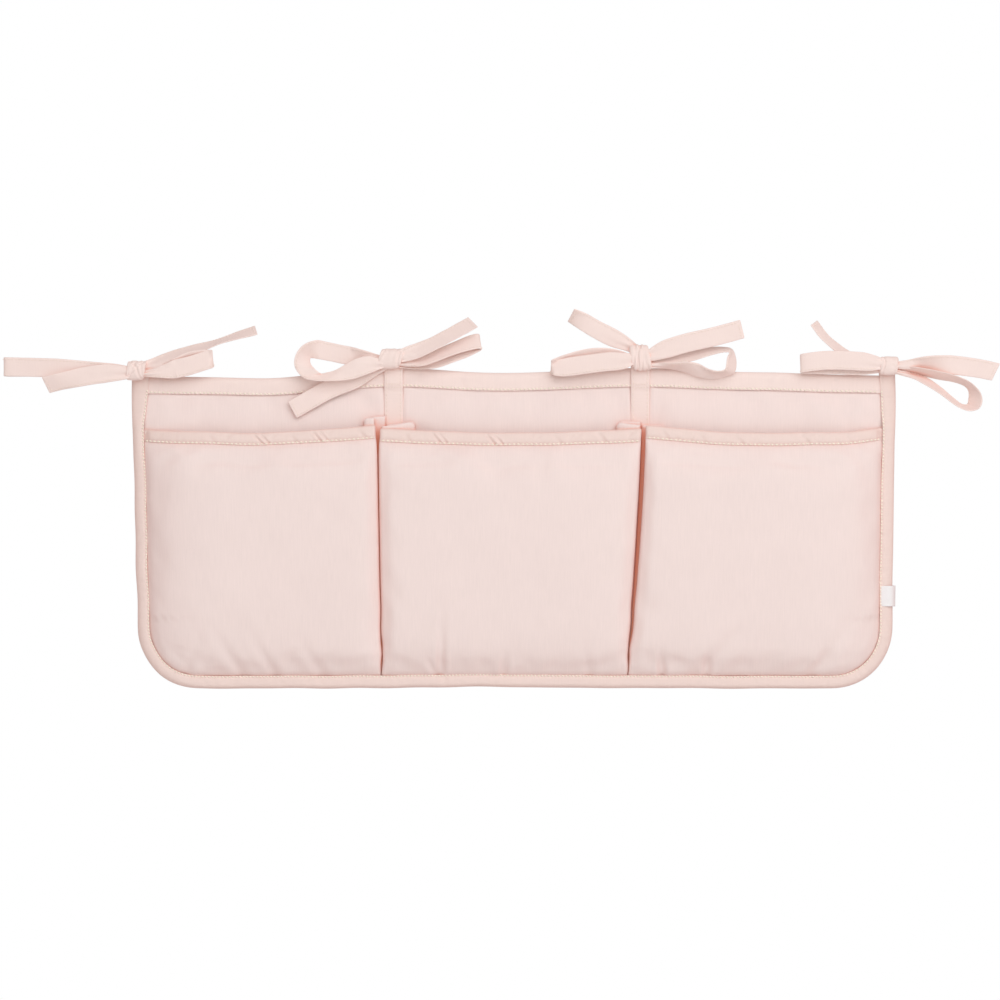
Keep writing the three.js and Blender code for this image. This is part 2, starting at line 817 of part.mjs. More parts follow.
const tailSteps = 10;
const loopSteps = 20;
for (const [name, size] of Object.entries(bowSizes)) {
  const centre = new THREE.Vector3(tiePlaces[name], -bowDepth, size.rise);
  add(`tie_${name}_strap`, strap(centre.x, size.rise), tieColour);
  add(`tie_${name}_knot`, knot(size.knotWidth, size.knotHeight, centre), tieColour);
  for (const [sideName, side] of [["left", -1], ["right", 1]]) {
    for (const [kind, steps] of [["tail", tailSteps], ["loop", loopSteps]]) {
      const ribbonName = `${kind}_${sideName}`;
      const shares = bowRouteShares[name][ribbonName];
      const made = ribbon(size[ribbonName], shares, side, centre, size.knotWidth, steps);
      add(`tie_${name}_${ribbonName}`, made, tieColour);
    }
  }
}

export default group;
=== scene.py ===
"""Bedside caddy: a padded cotton panel with three pleated pockets, bound edges and four tied bows.

Tables and shapes are in millimetres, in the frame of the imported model: X along the panel, -Y to the
front, +Z up. A depth is measured forward from the plane of the back, so y is minus the depth.
"""
import math

import bpy
import numpy as np
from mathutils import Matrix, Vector


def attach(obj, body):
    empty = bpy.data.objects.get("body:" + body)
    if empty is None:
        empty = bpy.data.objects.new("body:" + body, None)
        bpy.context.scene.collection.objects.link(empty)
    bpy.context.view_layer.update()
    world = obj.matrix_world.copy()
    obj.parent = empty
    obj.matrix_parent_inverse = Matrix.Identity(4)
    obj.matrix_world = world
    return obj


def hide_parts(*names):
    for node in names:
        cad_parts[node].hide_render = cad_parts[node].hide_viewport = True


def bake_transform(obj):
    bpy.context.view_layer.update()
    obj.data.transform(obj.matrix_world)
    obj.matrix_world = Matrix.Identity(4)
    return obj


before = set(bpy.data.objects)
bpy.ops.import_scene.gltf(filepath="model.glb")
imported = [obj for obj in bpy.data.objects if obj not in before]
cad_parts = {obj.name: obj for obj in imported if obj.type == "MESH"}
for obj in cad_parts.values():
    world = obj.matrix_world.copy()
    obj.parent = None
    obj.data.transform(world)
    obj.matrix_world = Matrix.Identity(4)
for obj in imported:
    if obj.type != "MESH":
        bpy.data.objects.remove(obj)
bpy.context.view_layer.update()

MM = 0.001

# Panel, as it is sewn
PANEL_HALF = 300.0
PANEL_HEIGHT = 246.0
CORNER_RADIUS = 47.5
LEFT_LEAN, RIGHT_LEAN = 4.7, 2.0
LIFT_FADE = 85.0
# How far the top edge rises at these places along it
LIFT_STATIONS = ((-300, 0), (-198.5, -1.6), (-97, 6.3), (0, 2.4), (97, 6.3), (198.5, 2.6), (300, 0))
MARGIN = 10.8
TOP_MARGIN = 14.3
PAD_PUFF = 2.4
PAD_RAMP = 34.0
PAD_FRONT = 5.6
# How far inside the outline the pads end, under the edge tape
PAD_INSET = 4.0
STRAP_X = {"inner_left": -94.3, "inner_right": 99.7}

# Tapes
TAPE_THICKNESS = 0.9
LEFT_TAPE_WIDTH, RIGHT_TAPE_WIDTH, BOTTOM_TAPE_WIDTH = 9.8, 10.8, 10.4
TOP_TAPE_WIDTH = 14.0
MOUTH_TAPE_WIDTH = 10.0
TAPE_SPACING, TOP_SPACING, MOUTH_SPACING = 2.6, 2.0, 0.8
TOP_LIP_DEPTH = 7.7

# Pockets

# Where each divider starts along the panel, and how far it drifts on its way down
DIVIDERS = {"left": (-106.8, 1.7), "right": (103.2, -13.3)}
DIVIDER_POWER = 1.5
# Width of the slit between two pockets, at these distances below their mouths
SLITS = {
    "left": ((0, 3.4), (7, 3.0), (11, 1.9), (20, 0.9), (60, 0.6), (158, 0.5), (166, 1.3), (173, 0.4),
             (180, 1.5), (190, 0.6)),
    "right": ((0, 3.0), (12, 3.6), (60, 3.8), (120, 3.2), (160, 2.2), (170, 0.8), (176, 1.5),
              (184, 0.5), (200, 0.8)),
}
# How far each mouth hangs below the top edge, how much it sags, how much its right end lifts, and the
# side on which the pocket is sewn into the edge tape
POCKETS = {
    "left": {"drop": 41.5, "sag": 2.5, "curl": 0.0, "sewn": -1},
    "middle": {"drop": 44.5, "sag": 1.4, "curl": 0.0, "sewn": 0},
    "right": {"drop": 42.0, "sag": 4.0, "curl": 2.0, "sewn": 1},
}
POCKET_WIDTH = 185.0
# How far a pocket's back stands off the panel at its mouth
CAVITY = 8.0
PAD_THICKNESS = 10.6
EDGE_THICKNESS = 3.2
# Farther than any seam that is looked for
FAR = 90.0

# Ties and stitches
RIBBON_WIDTH = 15.0
RIBBON_THICKNESS = 1.0
STRAP_WIDTH = 14.6
STITCH_PITCH = 3.2
MOUTH_PITCH = 3.45
EDGE_PITCH = 2.7
STRAP_PITCH = 2.2
FRONT, BACK = (0, -1, 0), (0, 1, 0)


# Small maths

def clamp(x):
    return np.clip(x, 0.0, 1.0)


def mix(a, b, share):
    return a + (b - a) * share


def smoothstep(x, a, b):
    t = clamp((x - a) / (b - a))
    return t * t * (3 - 2 * t)


def ease(x, length):
    return np.sin(clamp(x / length) * math.pi / 2)


def rounded(x, radius):
    """0 at the edge and 1 from radius inwards, along a quarter circle."""
    t = 1 - clamp(x / radius)
    return np.sqrt(np.maximum(0, 1 - t * t))


def hill(x, place=0.0, width=1.0):
    """Rises smoothly to 1 at its place."""
    return np.exp(-(((x - place) / width) ** 2))


def valley(offset, shoulder, away, both=False):
    """How deep a crease is across its width, with a raised shoulder on one side or on both."""
    depth = hill(offset) - shoulder * hill(offset, away)
    return depth - shoulder * hill(offset, -away) if both else depth


def steps(start, end, spacing):
    count = max(2, int(round(abs(end - start) / spacing)) + 1)
    return np.linspace(start, end, count)


def stretches(*pieces):
    """Shares from 0 to 1 in stretches of their own fineness: where each ends, and its points."""
    ends = [0.0] + [end for end, count in pieces]
    parts = [np.linspace(start, end, count) for start, (end, count) in zip(ends, pieces)]
    return np.concatenate([part[:-1] for part in parts[:-1]] + [parts[-1]])


def running(lengths):
    """The sum so far of a row of lengths, from 0."""
    return np.concatenate([[0], np.cumsum(lengths)])


def line_run(points):
    return running(np.linalg.norm(np.diff(points, axis=0), axis=1))


def creases(along, across, seed, spacing, width, slant, depth):
    """Narrow valleys that cross a tape: how deep each point lies in them. Across runs from 0 to 1."""
    draw = np.random.default_rng(seed)
    low, high = along.min(), along.max()
    total = np.zeros(np.broadcast(along, across).shape)
    for _ in range(max(1, int((high - low) / spacing))):
        place = draw.uniform(low, high)
        lean = slant * draw.uniform(0.3, 1.5) * (1 if draw.uniform() < 0.85 else -1)
        wide = width * draw.uniform(0.6, 1.5)
        deep = depth * draw.uniform(0.25, 1.0)
        start, end = sorted(draw.uniform(-0.1, 1.1, 2))
        reach = smoothstep(across, start - 0.25, start) * (1 - smoothstep(across, end, end + 0.25))
        total += deep * reach * valley((along + lean * (across - 0.5) - place) / wide, 0.45, 1.5)
    return total


def waves(x, y, seed, length, height):
    """Broad soft undulation of cloth, from a few waves that cross each other."""
    count = 7
    draw = np.random.default_rng(seed)
    total = 0
    for _ in range(count):
        angle = draw.uniform(0, math.pi)
        wave = length * draw.uniform(0.6, 1.7)
        phase = draw.uniform(0, 2 * math.pi)
        total = total + np.sin((x * math.cos(angle) + y * math.sin(angle)) * 2 * math.pi / wave + phase)
    return height * total / math.sqrt(count)


# The sewn shape

def lift_at(x):
    lift = np.zeros_like(x, dtype=float)
    for (x0, lift0), (x1, lift1) in zip(LIFT_STATIONS, LIFT_STATIONS[1:]):
        inside = (x >= x0) & (x <= x1)
        lift = np.where(inside, mix(lift0, lift1, smoothstep(x, x0, x1)), lift)
    return lift


def sewn(x, depth, z):
    """The place of a point of the flat pattern: the sides lean in and the top edge rises at the ties."""
    x, depth, z = np.broadcast_arrays(np.asarray(x, float), depth, z)
    lean = 1 - np.where(x < 0, LEFT_LEAN, RIGHT_LEAN) / PANEL_HALF * clamp(-z / 200) ** 1.4
    lift = lift_at(x) * (1 - clamp(-z / LIFT_FADE))
    return np.stack([x * lean, -depth, z + lift], axis=-1)


def inside_edge(x, z):
    """How far inside the sides and the bottom a point of the flat pattern lies."""
    dx = np.abs(x) - (PANEL_HALF - CORNER_RADIUS)
    dz = CORNER_RADIUS - PANEL_HEIGHT - z
    corner = (dx > 0) & (dz > 0)
    return CORNER_RADIUS - np.where(corner, np.hypot(dx, dz), np.maximum(dx, dz))


def bottom_line(x, inside):
    radius = CORNER_RADIUS - inside
    dx = np.maximum(0, np.abs(x) - (PANEL_HALF - CORNER_RADIUS))
    return CORNER_RADIUS - PANEL_HEIGHT - np.sqrt(np.maximum(0, radius**2 - dx**2))


def down_share(z):
    return clamp(-z / (PANEL_HEIGHT - MARGIN))


def divider_x(name, z):
    x, drift = DIVIDERS[name]
    wobble = 0.55 * np.sin(z / 6.0 + x) * smoothstep(-z, 150, 225)
    return x + drift * down_share(z) ** DIVIDER_POWER + wobble


def fold_x(name, side, z):
    """Where the fold of the pocket on that side of a divider lies."""
    slit = np.interp(-z - POCKETS["middle"]["drop"], *zip(*SLITS[name]))
    return divider_x(name, z) + side * slit / 2


# Meshes

def grid_faces(rows, columns, start=0):
    index = np.arange(rows * columns).reshape(rows, columns) + start
    return np.stack([index[:-1, :-1], index[:-1, 1:], index[1:, 1:], index[1:, :-1]], -1).reshape(-1, 4)


def closed_slab(front, back):
    """Points and faces of a closed body between two grids of the same size."""
    rows, columns = front.shape[:2]
    points = np.concatenate([front.reshape(-1, 3), back.reshape(-1, 3)])
    shift = rows * columns
    at = np.arange(shift).reshape(rows, columns)
    rim = np.concatenate([at[0, :], at[1:, -1], at[-1, -2::-1], at[-2:0:-1, 0]])
    following = np.roll(rim, -1)
    walls = np.stack([following, rim, rim + shift, following + shift], -1)
    faces = [grid_faces(rows, columns), grid_faces(rows, columns, shift)[:, ::-1], walls]
    return points, np.concatenate(faces)


def signed_volume(points, faces):
    a, b, c, d = (points[faces[:, i]] for i in range(4))
    return np.sum(a * np.cross(b, c)) + np.sum(a * np.cross(c, d))


def placed(name, data):
    """A new object in the scene."""
    obj = bpy.data.objects.new(name, data)
    bpy.context.scene.collection.objects.link(obj)
    return obj


def plain_object(name, points, faces):
    mesh = bpy.data.meshes.new(name)
    mesh.from_pydata((points * MM).tolist(), [], faces.tolist() if len(faces) else [])
    return placed(name, mesh)


def piece(name, points, faces, flat, material, subdivide=0):
    """A smooth mesh in metres. Flat holds each point's place on the cloth, for the weave."""
    if signed_volume(points, faces) < 0:
        faces = faces[:, ::-1]
    obj = plain_object(name, points, faces)
    mesh = obj.data
    corners = np.empty(len(mesh.loops), int)
    mesh.loops.foreach_get("vertex_index", corners)
    layer = mesh.uv_layers.new(name="cloth")
    layer.data.foreach_set("uv", (flat[corners] * MM).astype(np.float32).ravel())
    mesh.polygons.foreach_set("use_smooth", np.ones(len(mesh.polygons), bool))
    mesh.materials.append(material)
    if subdivide:
        modifier = obj.modifiers.new("smooth", "SUBSURF")
        modifier.levels = modifier.render_levels = subdivide
    return obj


def slab_piece(name, front, back, along, across, material, subdivide=1):
    """A closed piece between two grids. Along and across are its places on the flat cloth."""
    flat = np.stack(np.broadcast_arrays(along, across, front[..., 0])[:2], -1).reshape(-1, 2)
    points, faces = closed_slab(front, back)
    return piece(name, points, faces, np.concatenate([flat, flat]), material, subdivide)


def dress(obj, body, slot, *nodes):
    if body:
        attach(obj, body)
    if nodes:
        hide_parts(*nodes)
    return obj


def unit(vectors, least=1e-9):
    return vectors / np.maximum(least, np.linalg.norm(vectors, axis=-1, keepdims=True))


def grid_normals(points):
    return unit(np.cross(np.gradient(points, axis=0), np.gradient(points, axis=1)))


# Stuffing

SEAM_REACH = 0.01
SMOOTHING_ROUNDS = 5
CLOTH_SETTINGS = {
    "quality": 6, "mass": 0.02, "air_damping": 3.0, "tension_stiffness": 12, "compression_stiffness": 12,
    "shear_stiffness": 3, "bending_stiffness": 0.05, "vertex_group_mass": "seams", "use_pressure": True,
}


def start_stuffing(name, points, free, pressure, slack, last_frame):
    obj = plain_object(name, points.reshape(-1, 3), grid_faces(*points.shape[:2]))
    seams = obj.vertex_groups.new(name="seams")
    seams.add(np.flatnonzero(free.ravel() <= SEAM_REACH).tolist(), 1.0, "REPLACE")
    cloth = obj.modifiers.new("cloth", "CLOTH")
    for setting, value in CLOTH_SETTINGS.items():
        setattr(cloth.settings, setting, value)
    cloth.settings.uniform_pressure_force = pressure
    cloth.settings.shrink_min = -slack
    cloth.settings.effector_weights.gravity = 0
    cloth.collision_settings.use_collision = False
    cloth.point_cache.frame_start = 1
    cloth.point_cache.frame_end = last_frame
    return obj


def inflate(jobs, last_frame=18):
    """Blender's cloth, blown up between its seams. Each job is [points, free, pressure, slack, cap], where
    free runs from 0 at a seam to 1 where the cloth may move by the cap."""
    started = [start_stuffing(f"stuffing_{number}", *job[:4], last_frame) for number, job in enumerate(jobs)]
    for frame_number in range(1, last_frame + 1):
        bpy.context.scene.frame_set(frame_number)
    graph = bpy.context.evaluated_depsgraph_get()
    results = []
    for obj, (points, free, _, _, cap) in zip(started, jobs):
        moved = np.empty(points.size, np.float32)
        obj.evaluated_get(graph).to_mesh().vertices.foreach_get("co", moved)
        step = moved.reshape(points.shape) / MM - points
        length = np.linalg.norm(step, axis=-1, keepdims=True)
        limited = step * (free[..., None] * cap * np.tanh(length / cap) / np.maximum(length, 1e-9))
        limited = np.where(np.isfinite(limited), limited, 0)
        for _ in range(SMOOTHING_ROUNDS):
            limited[1:-1, 1:-1] = (2 * limited[1:-1, 1:-1] + limited[:-2, 1:-1] + limited[2:, 1:-1]
                                   + limited[1:-1, :-2] + limited[1:-1, 2:]) / 6
        results.append(points + limited)
        bpy.data.objects.remove(obj)
    bpy.context.scene.frame_set(1)
    return results


# Cloth finishes

def linear(red, green, blue):
    """A colour written as it looks on a screen, 0 to 255."""
    def one(value):
        value /= 255
        return value / 12.92 if value <= 0.04045 else ((value + 0.055) / 1.055) ** 2.4
    return (one(red), one(green), one(blue), 1.0)


COTTON = linear(248, 230, 225)
# Painted shade: the tapes' cloth set a little darker than the pad's
SHADED_TAPE_COTTON = linear(245, 223, 215)
TIE_COTTON = linear(251, 231, 224)
THREAD = linear(255, 244, 228)
TIE_THREAD = linear(251, 233, 221)
LABEL_WHITE = linear(248, 245, 245)
# Painted shade for hollows, creases and gaps: the warm dark colour they are painted toward, as thin cloth's
# are lit through it
HOLLOW_SHADE_COLOUR = (0.98, 0.42, 0.25, 1.0)
# Colour of a painted glow in the hollows, as of light passed through the cloth
PAINTED_GLOW_COLOUR = (1.0, 0.65, 0.45, 1.0)
# Painted shade: what its colour turns to where it curves away from the eye
TURNED_AWAY_SHADE = (0.93, 0.74, 0.72, 1.0)
# The weave: yarns and slubs across and along the threads, and soft blotches, in turns per metre
YARN_SCALES = (950, 60)
BLOTCH_SCALES = (24, 24)
YARN_RELIEF = 0.3
PLY_SCALE = 900
PLY_RELIEF = 0.05


def feed(tree, slot, value):
    """Gives an input its value, or links it to another node's output."""
    if isinstance(value, bpy.types.NodeSocket):
        tree.links.new(value, slot)
    else:
        slot.default_value = value


def add(tree, kind, inputs=None, **settings):
    node = tree.nodes.new(kind)
    for setting, value in settings.items():
        setattr(node, setting, value)
    for slot, value in (inputs or {}).items():
        feed(tree, node.inputs[slot], value)
    return node


def calc(tree, operation, *values):
    return add(tree, "ShaderNodeMath", dict(enumerate(values)), operation=operation).outputs[0]


def ranged(tree, value, start, end, most, **settings):
    """From 0 where the value is at its start to most where it is at its end."""
    ends = {"From Min": start, "From Max": end, "To Max": most, "Value": value}
    return add(tree, "ShaderNodeMapRange", ends, **settings).outputs["Result"]


def blended(tree, colour, by, share=1.0, way="MULTIPLY"):
    parts = {"Factor": share, "A": colour, "B": by}
    return add(tree, "ShaderNodeMix", parts, data_type="RGBA", blend_type=way).outputs["Result"]


def socket(group, name, kind, value=None, way="INPUT"):
    made = group.interface.new_socket(name=name, in_out=way, socket_type=kind)
    if value is not None:
        made.default_value = value


def new_material(name, inputs):
    """A material with its shader's inputs set. Returns it, its node tree and its shader."""
    material = bpy.data.materials.new(name)
    material.use_nodes = True
    shader = material.node_tree.nodes["Principled BSDF"]
    for slot, value in inputs.items():
        shader.inputs[slot].default_value = value
    return material, material.node_tree, shader


def weave_group():
    """Plain weave with slubs: warp and weft threads, thicker yarns here and there, soft blotches."""
    group = bpy.data.node_groups.new("woven_cotton", "ShaderNodeTree")
    socket(group, "Cloth", "NodeSocketVector")
    socket(group, "Thread pitch", "NodeSocketFloat", 0.45 * MM)
    socket(group, "Slub", "NodeSocketFloat", 1.0)
    socket(group, "Shade", "NodeSocketFloat", way="OUTPUT")
    socket(group, "Height", "NodeSocketFloat", way="OUTPUT")
    entry = add(group, "NodeGroupInput")

    def yarns(scales, turn):
        place = {"Vector": entry.outputs["Cloth"], "Rotation": (0, 0, turn), "Scale": (*scales, 1)}
        stretch = add(group, "ShaderNodeMapping", place)
        look = {"Vector": stretch.outputs[0], "Scale": 1.0, "Detail": 3.0, "Roughness": 0.6}
        return add(group, "ShaderNodeTexNoise", look).outputs["Fac"]

    def thread_turn(place):
        turns = calc(group, "MULTIPLY", place, math.pi)
        return calc(group, "SINE", calc(group, "DIVIDE", turns, entry.outputs["Thread pitch"]))

    def centred(value, strength):
        return calc(group, "MULTIPLY", calc(group, "SUBTRACT", value, 0.5), strength)

    parts = add(group, "ShaderNodeSeparateXYZ", {0: entry.outputs["Cloth"]})
    over = calc(group, "MULTIPLY", thread_turn(parts.outputs["X"]), thread_turn(parts.outputs["Y"]))
    warp = calc(group, "MULTIPLY", yarns(YARN_SCALES, 0), 0.55)
    weft = calc(group, "MULTIPLY", yarns(YARN_SCALES, math.pi / 2), 0.45)
    slubs = centred(calc(group, "ADD", warp, weft), entry.outputs["Slub"])
    soft = centred(yarns(BLOTCH_SCALES, 0.4), 0.05)
    shade = calc(group, "ADD", calc(group, "MULTIPLY", slubs, 0.13), soft)
    height = calc(group, "ADD", calc(group, "MULTIPLY", calc(group, "ABSOLUTE", over), 0.35), slubs)
    add(group, "NodeGroupOutput", {"Shade": calc(group, "ADD", shade, 1.0), "Height": height})
    return group


WEAVE = weave_group()


def cotton_material(name, colour, slub=1.0, pitch=0.45, bump=0.12, sheen=0.25,
                    reach=6, most=0.35, turned_shade=0.5, painted_glow=0.0):
    """Woven cotton with painted shade, darker and pinker, where it turns away from the eye. Its creases,
    seams and gaps get painted shade, warm as thin cotton's hollows that are lit through the cloth, and can
    get a painted glow there."""
    finish = {"Roughness": 0.92, "Specular IOR Level": 0.2, "Sheen Weight": sheen, "Sheen Roughness": 0.5}
    material, tree, shader = new_material(name, finish)
    place = add(tree, "ShaderNodeUVMap", uv_map="cloth").outputs["UV"]
    weave = {"Thread pitch": pitch * MM, "Slub": slub, "Cloth": place}
    cloth = add(tree, "ShaderNodeGroup", weave, node_tree=WEAVE)
    woven = blended(tree, colour, cloth.outputs["Shade"])
    turned = add(tree, "ShaderNodeLayerWeight", {"Blend": 0.5}).outputs["Facing"]
    # Painted shade where the cloth turns away from the eye
    shaded_where_turned = blended(tree, woven, TURNED_AWAY_SHADE, ranged(tree, turned, 0, 0.5, turned_shade))
    near = add(tree, "ShaderNodeAmbientOcclusion", {"Distance": reach * MM}, samples=8).outputs["AO"]
    # Painted shade in creases, seams and gaps, stronger where other surfaces are near
    hollow_shade = ranged(tree, near, 0.72, 0.1, most)
    feed(tree, shader.inputs["Base Color"], blended(tree, shaded_where_turned, HOLLOW_SHADE_COLOUR, hollow_shade))
    # Painted glow in the hollows
    feed(tree, shader.inputs["Emission Strength"], calc(tree, "MULTIPLY", hollow_shade, painted_glow))
    feed(tree, shader.inputs["Emission Color"], PAINTED_GLOW_COLOUR)
    relief = {"Strength": bump, "Distance": YARN_RELIEF * MM, "Height": cloth.outputs["Height"]}
    feed(tree, shader.inputs["Normal"], add(tree, "ShaderNodeBump", relief).outputs["Normal"])
    return material


def thread_material(name, colour):
    """Sewing thread, with the lay of its plies along each stitch."""
    material, tree, shader = new_material(name, {"Roughness": 0.6, "Sheen Weight": 0.2})
    place = {"Vector": add(tree, "ShaderNodeTexCoord").outputs["Object"], "Scale": PLY_SCALE}
    plies = add(tree, "ShaderNodeTexWave", place, bands_direction="DIAGONAL").outputs["Fac"]
    shaded = tuple(0.93 * part for part in colour[:3]) + (1.0,)
    feed(tree, shader.inputs["Base Color"], blended(tree, colour, shaded, plies, "MIX"))
    relief = {"Strength": 0.3, "Distance": PLY_RELIEF * MM, "Height": plies}
    feed(tree, shader.inputs["Normal"], add(tree, "ShaderNodeBump", relief).outputs["Normal"])
    return material


cotton = cotton_material("padded_cotton", COTTON)
# The tapes' cloth, painted a little darker than the pad's as painted shade on the side tapes
shaded_tape_cotton = cotton_material("shaded_bias_tape_cotton", SHADED_TAPE_COTTON, slub=0.7)
# The top tape, painted lighter in the ties' colour and with less painted shade, as painted light along the
# top edge
lit_top_cotton = cotton_material("lit_top_tape_cotton", TIE_COTTON, slub=0.7, turned_shade=0.2, most=0.3)
tie_cotton = cotton_material("tie_cotton", TIE_COTTON, slub=0.6, turned_shade=0.2)
# The gussets' lining: the pad's cloth with deep painted shade reaching far into the slits, and a faint
# painted glow
shaded_lining_cotton = cotton_material("shaded_lining_cotton", COTTON, slub=0.8, reach=26, most=1.0, painted_glow=0.05)
label_satin = cotton_material("label_satin", LABEL_WHITE, slub=0.2, pitch=0.3, bump=0.08, sheen=0.1)
thread = thread_material("sewing_thread", THREAD)
tie_thread = thread_material("tie_thread", TIE_THREAD)


# Tapes folded over an edge

# Shares of a tape's width at the points of its section, from its lip to the edge that it wraps
SECTION = np.array([1.0, 0.985, 0.955, 0.915, 0.87, 0.8, 0.7, 0.58, 0.46, 0.34, 0.23, 0.14, 0.07, 0.025, 0.0])
FRONT_SIDE = np.arange(2 * len(SECTION) - 1)[None, :] < len(SECTION)
STITCH_COLUMN = 3.0
STITCH_INSIDE = 1.0
STITCH_GROOVE = 0.9
FRONT_COLUMN = 7


def folded_section(front, back, width, puff, nip, turn):
    """Outer face of a tape folded round an edge, from the front lip over to the back lip, for every
    station: how far inside the edge and how deep. It bulges, and the stitches nip it in at its lip."""
    sizes = np.broadcast_arrays(*(np.asarray(size, float) for size in (front, back, width, puff, turn)))
    front, back, width, puff, turn = (size[:, None] for size in sizes)
    middle, half = (front + back) / 2, (front - back) / 2
    inside = SECTION[None, :] * width
    round_over = rounded(inside, turn * width)
    groove = hill(width - inside - STITCH_INSIDE, 0, STITCH_GROOVE) + 0.35 * (SECTION > 0.99)
    bulge = puff * np.sin(math.pi * SECTION) ** 0.8 - nip * groove
    front_face = middle + half * round_over + bulge
    back_face = middle - half * round_over - 0.35 * bulge
    return (np.concatenate([inside, inside[:, -2::-1]], 1),
            np.concatenate([front_face, back_face[:, -2::-1]], 1))


def inner_face(outer, thickness, front_column):
    """The other face of a folded tape, inside the fold."""
    inner = outer - grid_normals(outer) * thickness
    behind = (inner - outer)[len(outer) // 2, front_column, 1] > 0
    return inner if behind else 2 * outer - inner


def tape_piece(name, outer, run, inside, depth, material=shaded_tape_cotton):
    """The tape as a piece with a thickness. Its flat width is what it measures round its section."""
    turns = np.linalg.norm(np.stack([np.diff(inside, axis=1), np.diff(depth, axis=1)], -1), axis=-1)
    around = np.concatenate([np.zeros((len(inside), 1)), np.cumsum(turns, 1)], 1)
    inner = inner_face(outer, TAPE_THICKNESS, FRONT_COLUMN)
    return slab_piece(name, outer, inner, run[:, None], around, material)


def tape_width(x, z):
    """Width of the edge tape that faces the front: one for each side and for the bottom, more below the
    outer ties and less beside the pockets' mouths."""
    side = np.where(x < 0, LEFT_TAPE_WIDTH, RIGHT_TAPE_WIDTH)
    below_tie = 1 - smoothstep(-z, 4, 40)
    beside_mouth = smoothstep(-z, 26, 42) - smoothstep(-z, 42, 90)
    side = side + np.where(x < 0, 3.4, 1.0) * below_tie - 0.9 * beside_mouth
    return mix(side, BOTTOM_TAPE_WIDTH, smoothstep(-z, PANEL_HEIGHT - 60, PANEL_HEIGHT - 14))


def from_lip(x, z):
    """How far inside the lip of the edge tape a point of the pattern lies."""
    return inside_edge(x, z) - tape_width(x, z)


def pad_front(x, z):
    """Depth of the panel's front: pressed under the tapes and puffed between them."""
    sides = from_lip(x, z)
    top = -z - TOP_MARGIN
    puff = PAD_PUFF * np.minimum(ease(sides, PAD_RAMP), ease(top + 6, PAD_RAMP))
    under = clamp(-np.minimum(sides, top) / 6)
    return PAD_FRONT + puff - 1.2 * under


def edge_stations():
    """The outline of the sides and the bottom: x, z and the direction in."""
    corner_x, corner_z = PANEL_HALF - CORNER_RADIUS, CORNER_RADIUS - PANEL_HEIGHT
    top = 2.5

    def corner(side, start):
        rows = []
        for angle in steps(start, start + 90, 3)[:-1]:
            sine, cosine = math.sin(math.radians(angle)), math.cos(math.radians(angle))
            rows.append((side * corner_x + CORNER_RADIUS * sine, corner_z - CORNER_RADIUS * cosine,
                         -sine, cosine))
        return rows

    left = [(-PANEL_HALF, z, 1.0, 0.0) for z in steps(top, corner_z, TAPE_SPACING)[:-1]]
    bottom = [(x, -PANEL_HEIGHT, 0.0, 1.0) for x in steps(-corner_x, corner_x, TAPE_SPACING)[:-1]]
    right = [(PANEL_HALF, z, -1.0, 0.0) for z in steps(corner_z, top, TAPE_SPACING)]
    return np.array(left + corner(-1, -90) + bottom + corner(1, 0) + right)


def lip_depth(z):
    """Depth of the edge tape's front lip: over one layer, over the pockets, and over the top tape."""
    return 7.0 + 2.2 * smoothstep(-z, 32, 41) + 1.0 * (1 - smoothstep(-z, 8, 18))


def edge_tape():
    """The tape round the sides and the bottom. Returns its outer face, for the stitches."""
    x, z, in_x, in_z = edge_stations().T
    run = running(np.hypot(np.diff(x), np.diff(z)))
    width = tape_width(x, z)
    turn = 0.32 + np.where(in_x > 0, 0.6, 0.44) * np.abs(in_x)
    inside, depth = folded_section(lip_depth(z), np.zeros(len(z)), width, 0.4, 0.35, turn)
    share = inside / width[:, None]
    marks = creases(run[:, None], share, 11, 6.0, 1.4, 2.5, 0.5) * smoothstep(share, 0.02, 0.3)
    high = 1 - smoothstep(-z, 30, 60)
    outward = 0.8 * high[:, None] * (1 - share) + waves(run, run * 0, 3, 50, 0.28)[:, None]
    outward = outward - 1.1 * (hill(x, -35, 70) * in_z)[:, None]
    flat_x = x[:, None] + (inside - outward) * in_x[:, None]
    flat_z = z[:, None] + (inside - outward) * in_z[:, None]
    outer = sewn(flat_x, depth - np.where(FRONT_SIDE, marks, -0.6 * marks), flat_z)
    obj = tape_piece("edge_tape", outer, run, inside, depth)
    dress(obj, "panel", "cotton", "edge_binding", "tie_outer_left_strap", "tie_outer_right_strap")
    return outer


def top_tape():
    """The wide tape over the top edge, pressed in under the straps. Returns its outer face."""
    reach = PANEL_HALF - 3.5
    x = steps(-reach, reach, TOP_SPACING)
    near_end = 0.8 * smoothstep(np.abs(x), 280, 288)
    lip = TOP_LIP_DEPTH - near_end
    inside, depth = folded_section(lip, np.full(len(x), 0.2), TOP_TAPE_WIDTH, 0.25, 0.25, 0.4)
    share = inside / TOP_TAPE_WIDTH
    marks = creases(x[:, None], share, 21, 11, 2.0, 4, 0.3) * smoothstep(share, 0.02, 0.3)
    pressed = 0.6 * sum(hill(x, tie, 9.0) for tie in STRAP_X.values())[:, None]
    fall = np.where(FRONT_SIDE, marks + pressed * smoothstep(share, 0, 0.4), -marks * 0.5)
    outer = sewn(x[:, None], depth - fall, -inside + waves(x, x * 0, 5, 70, 0.2)[:, None])
    obj = tape_piece("top_tape", outer, x + reach, inside, depth, lit_top_cotton)
    dress(obj, "panel", "cotton", "top_binding")
    return outer


# The panel's pad

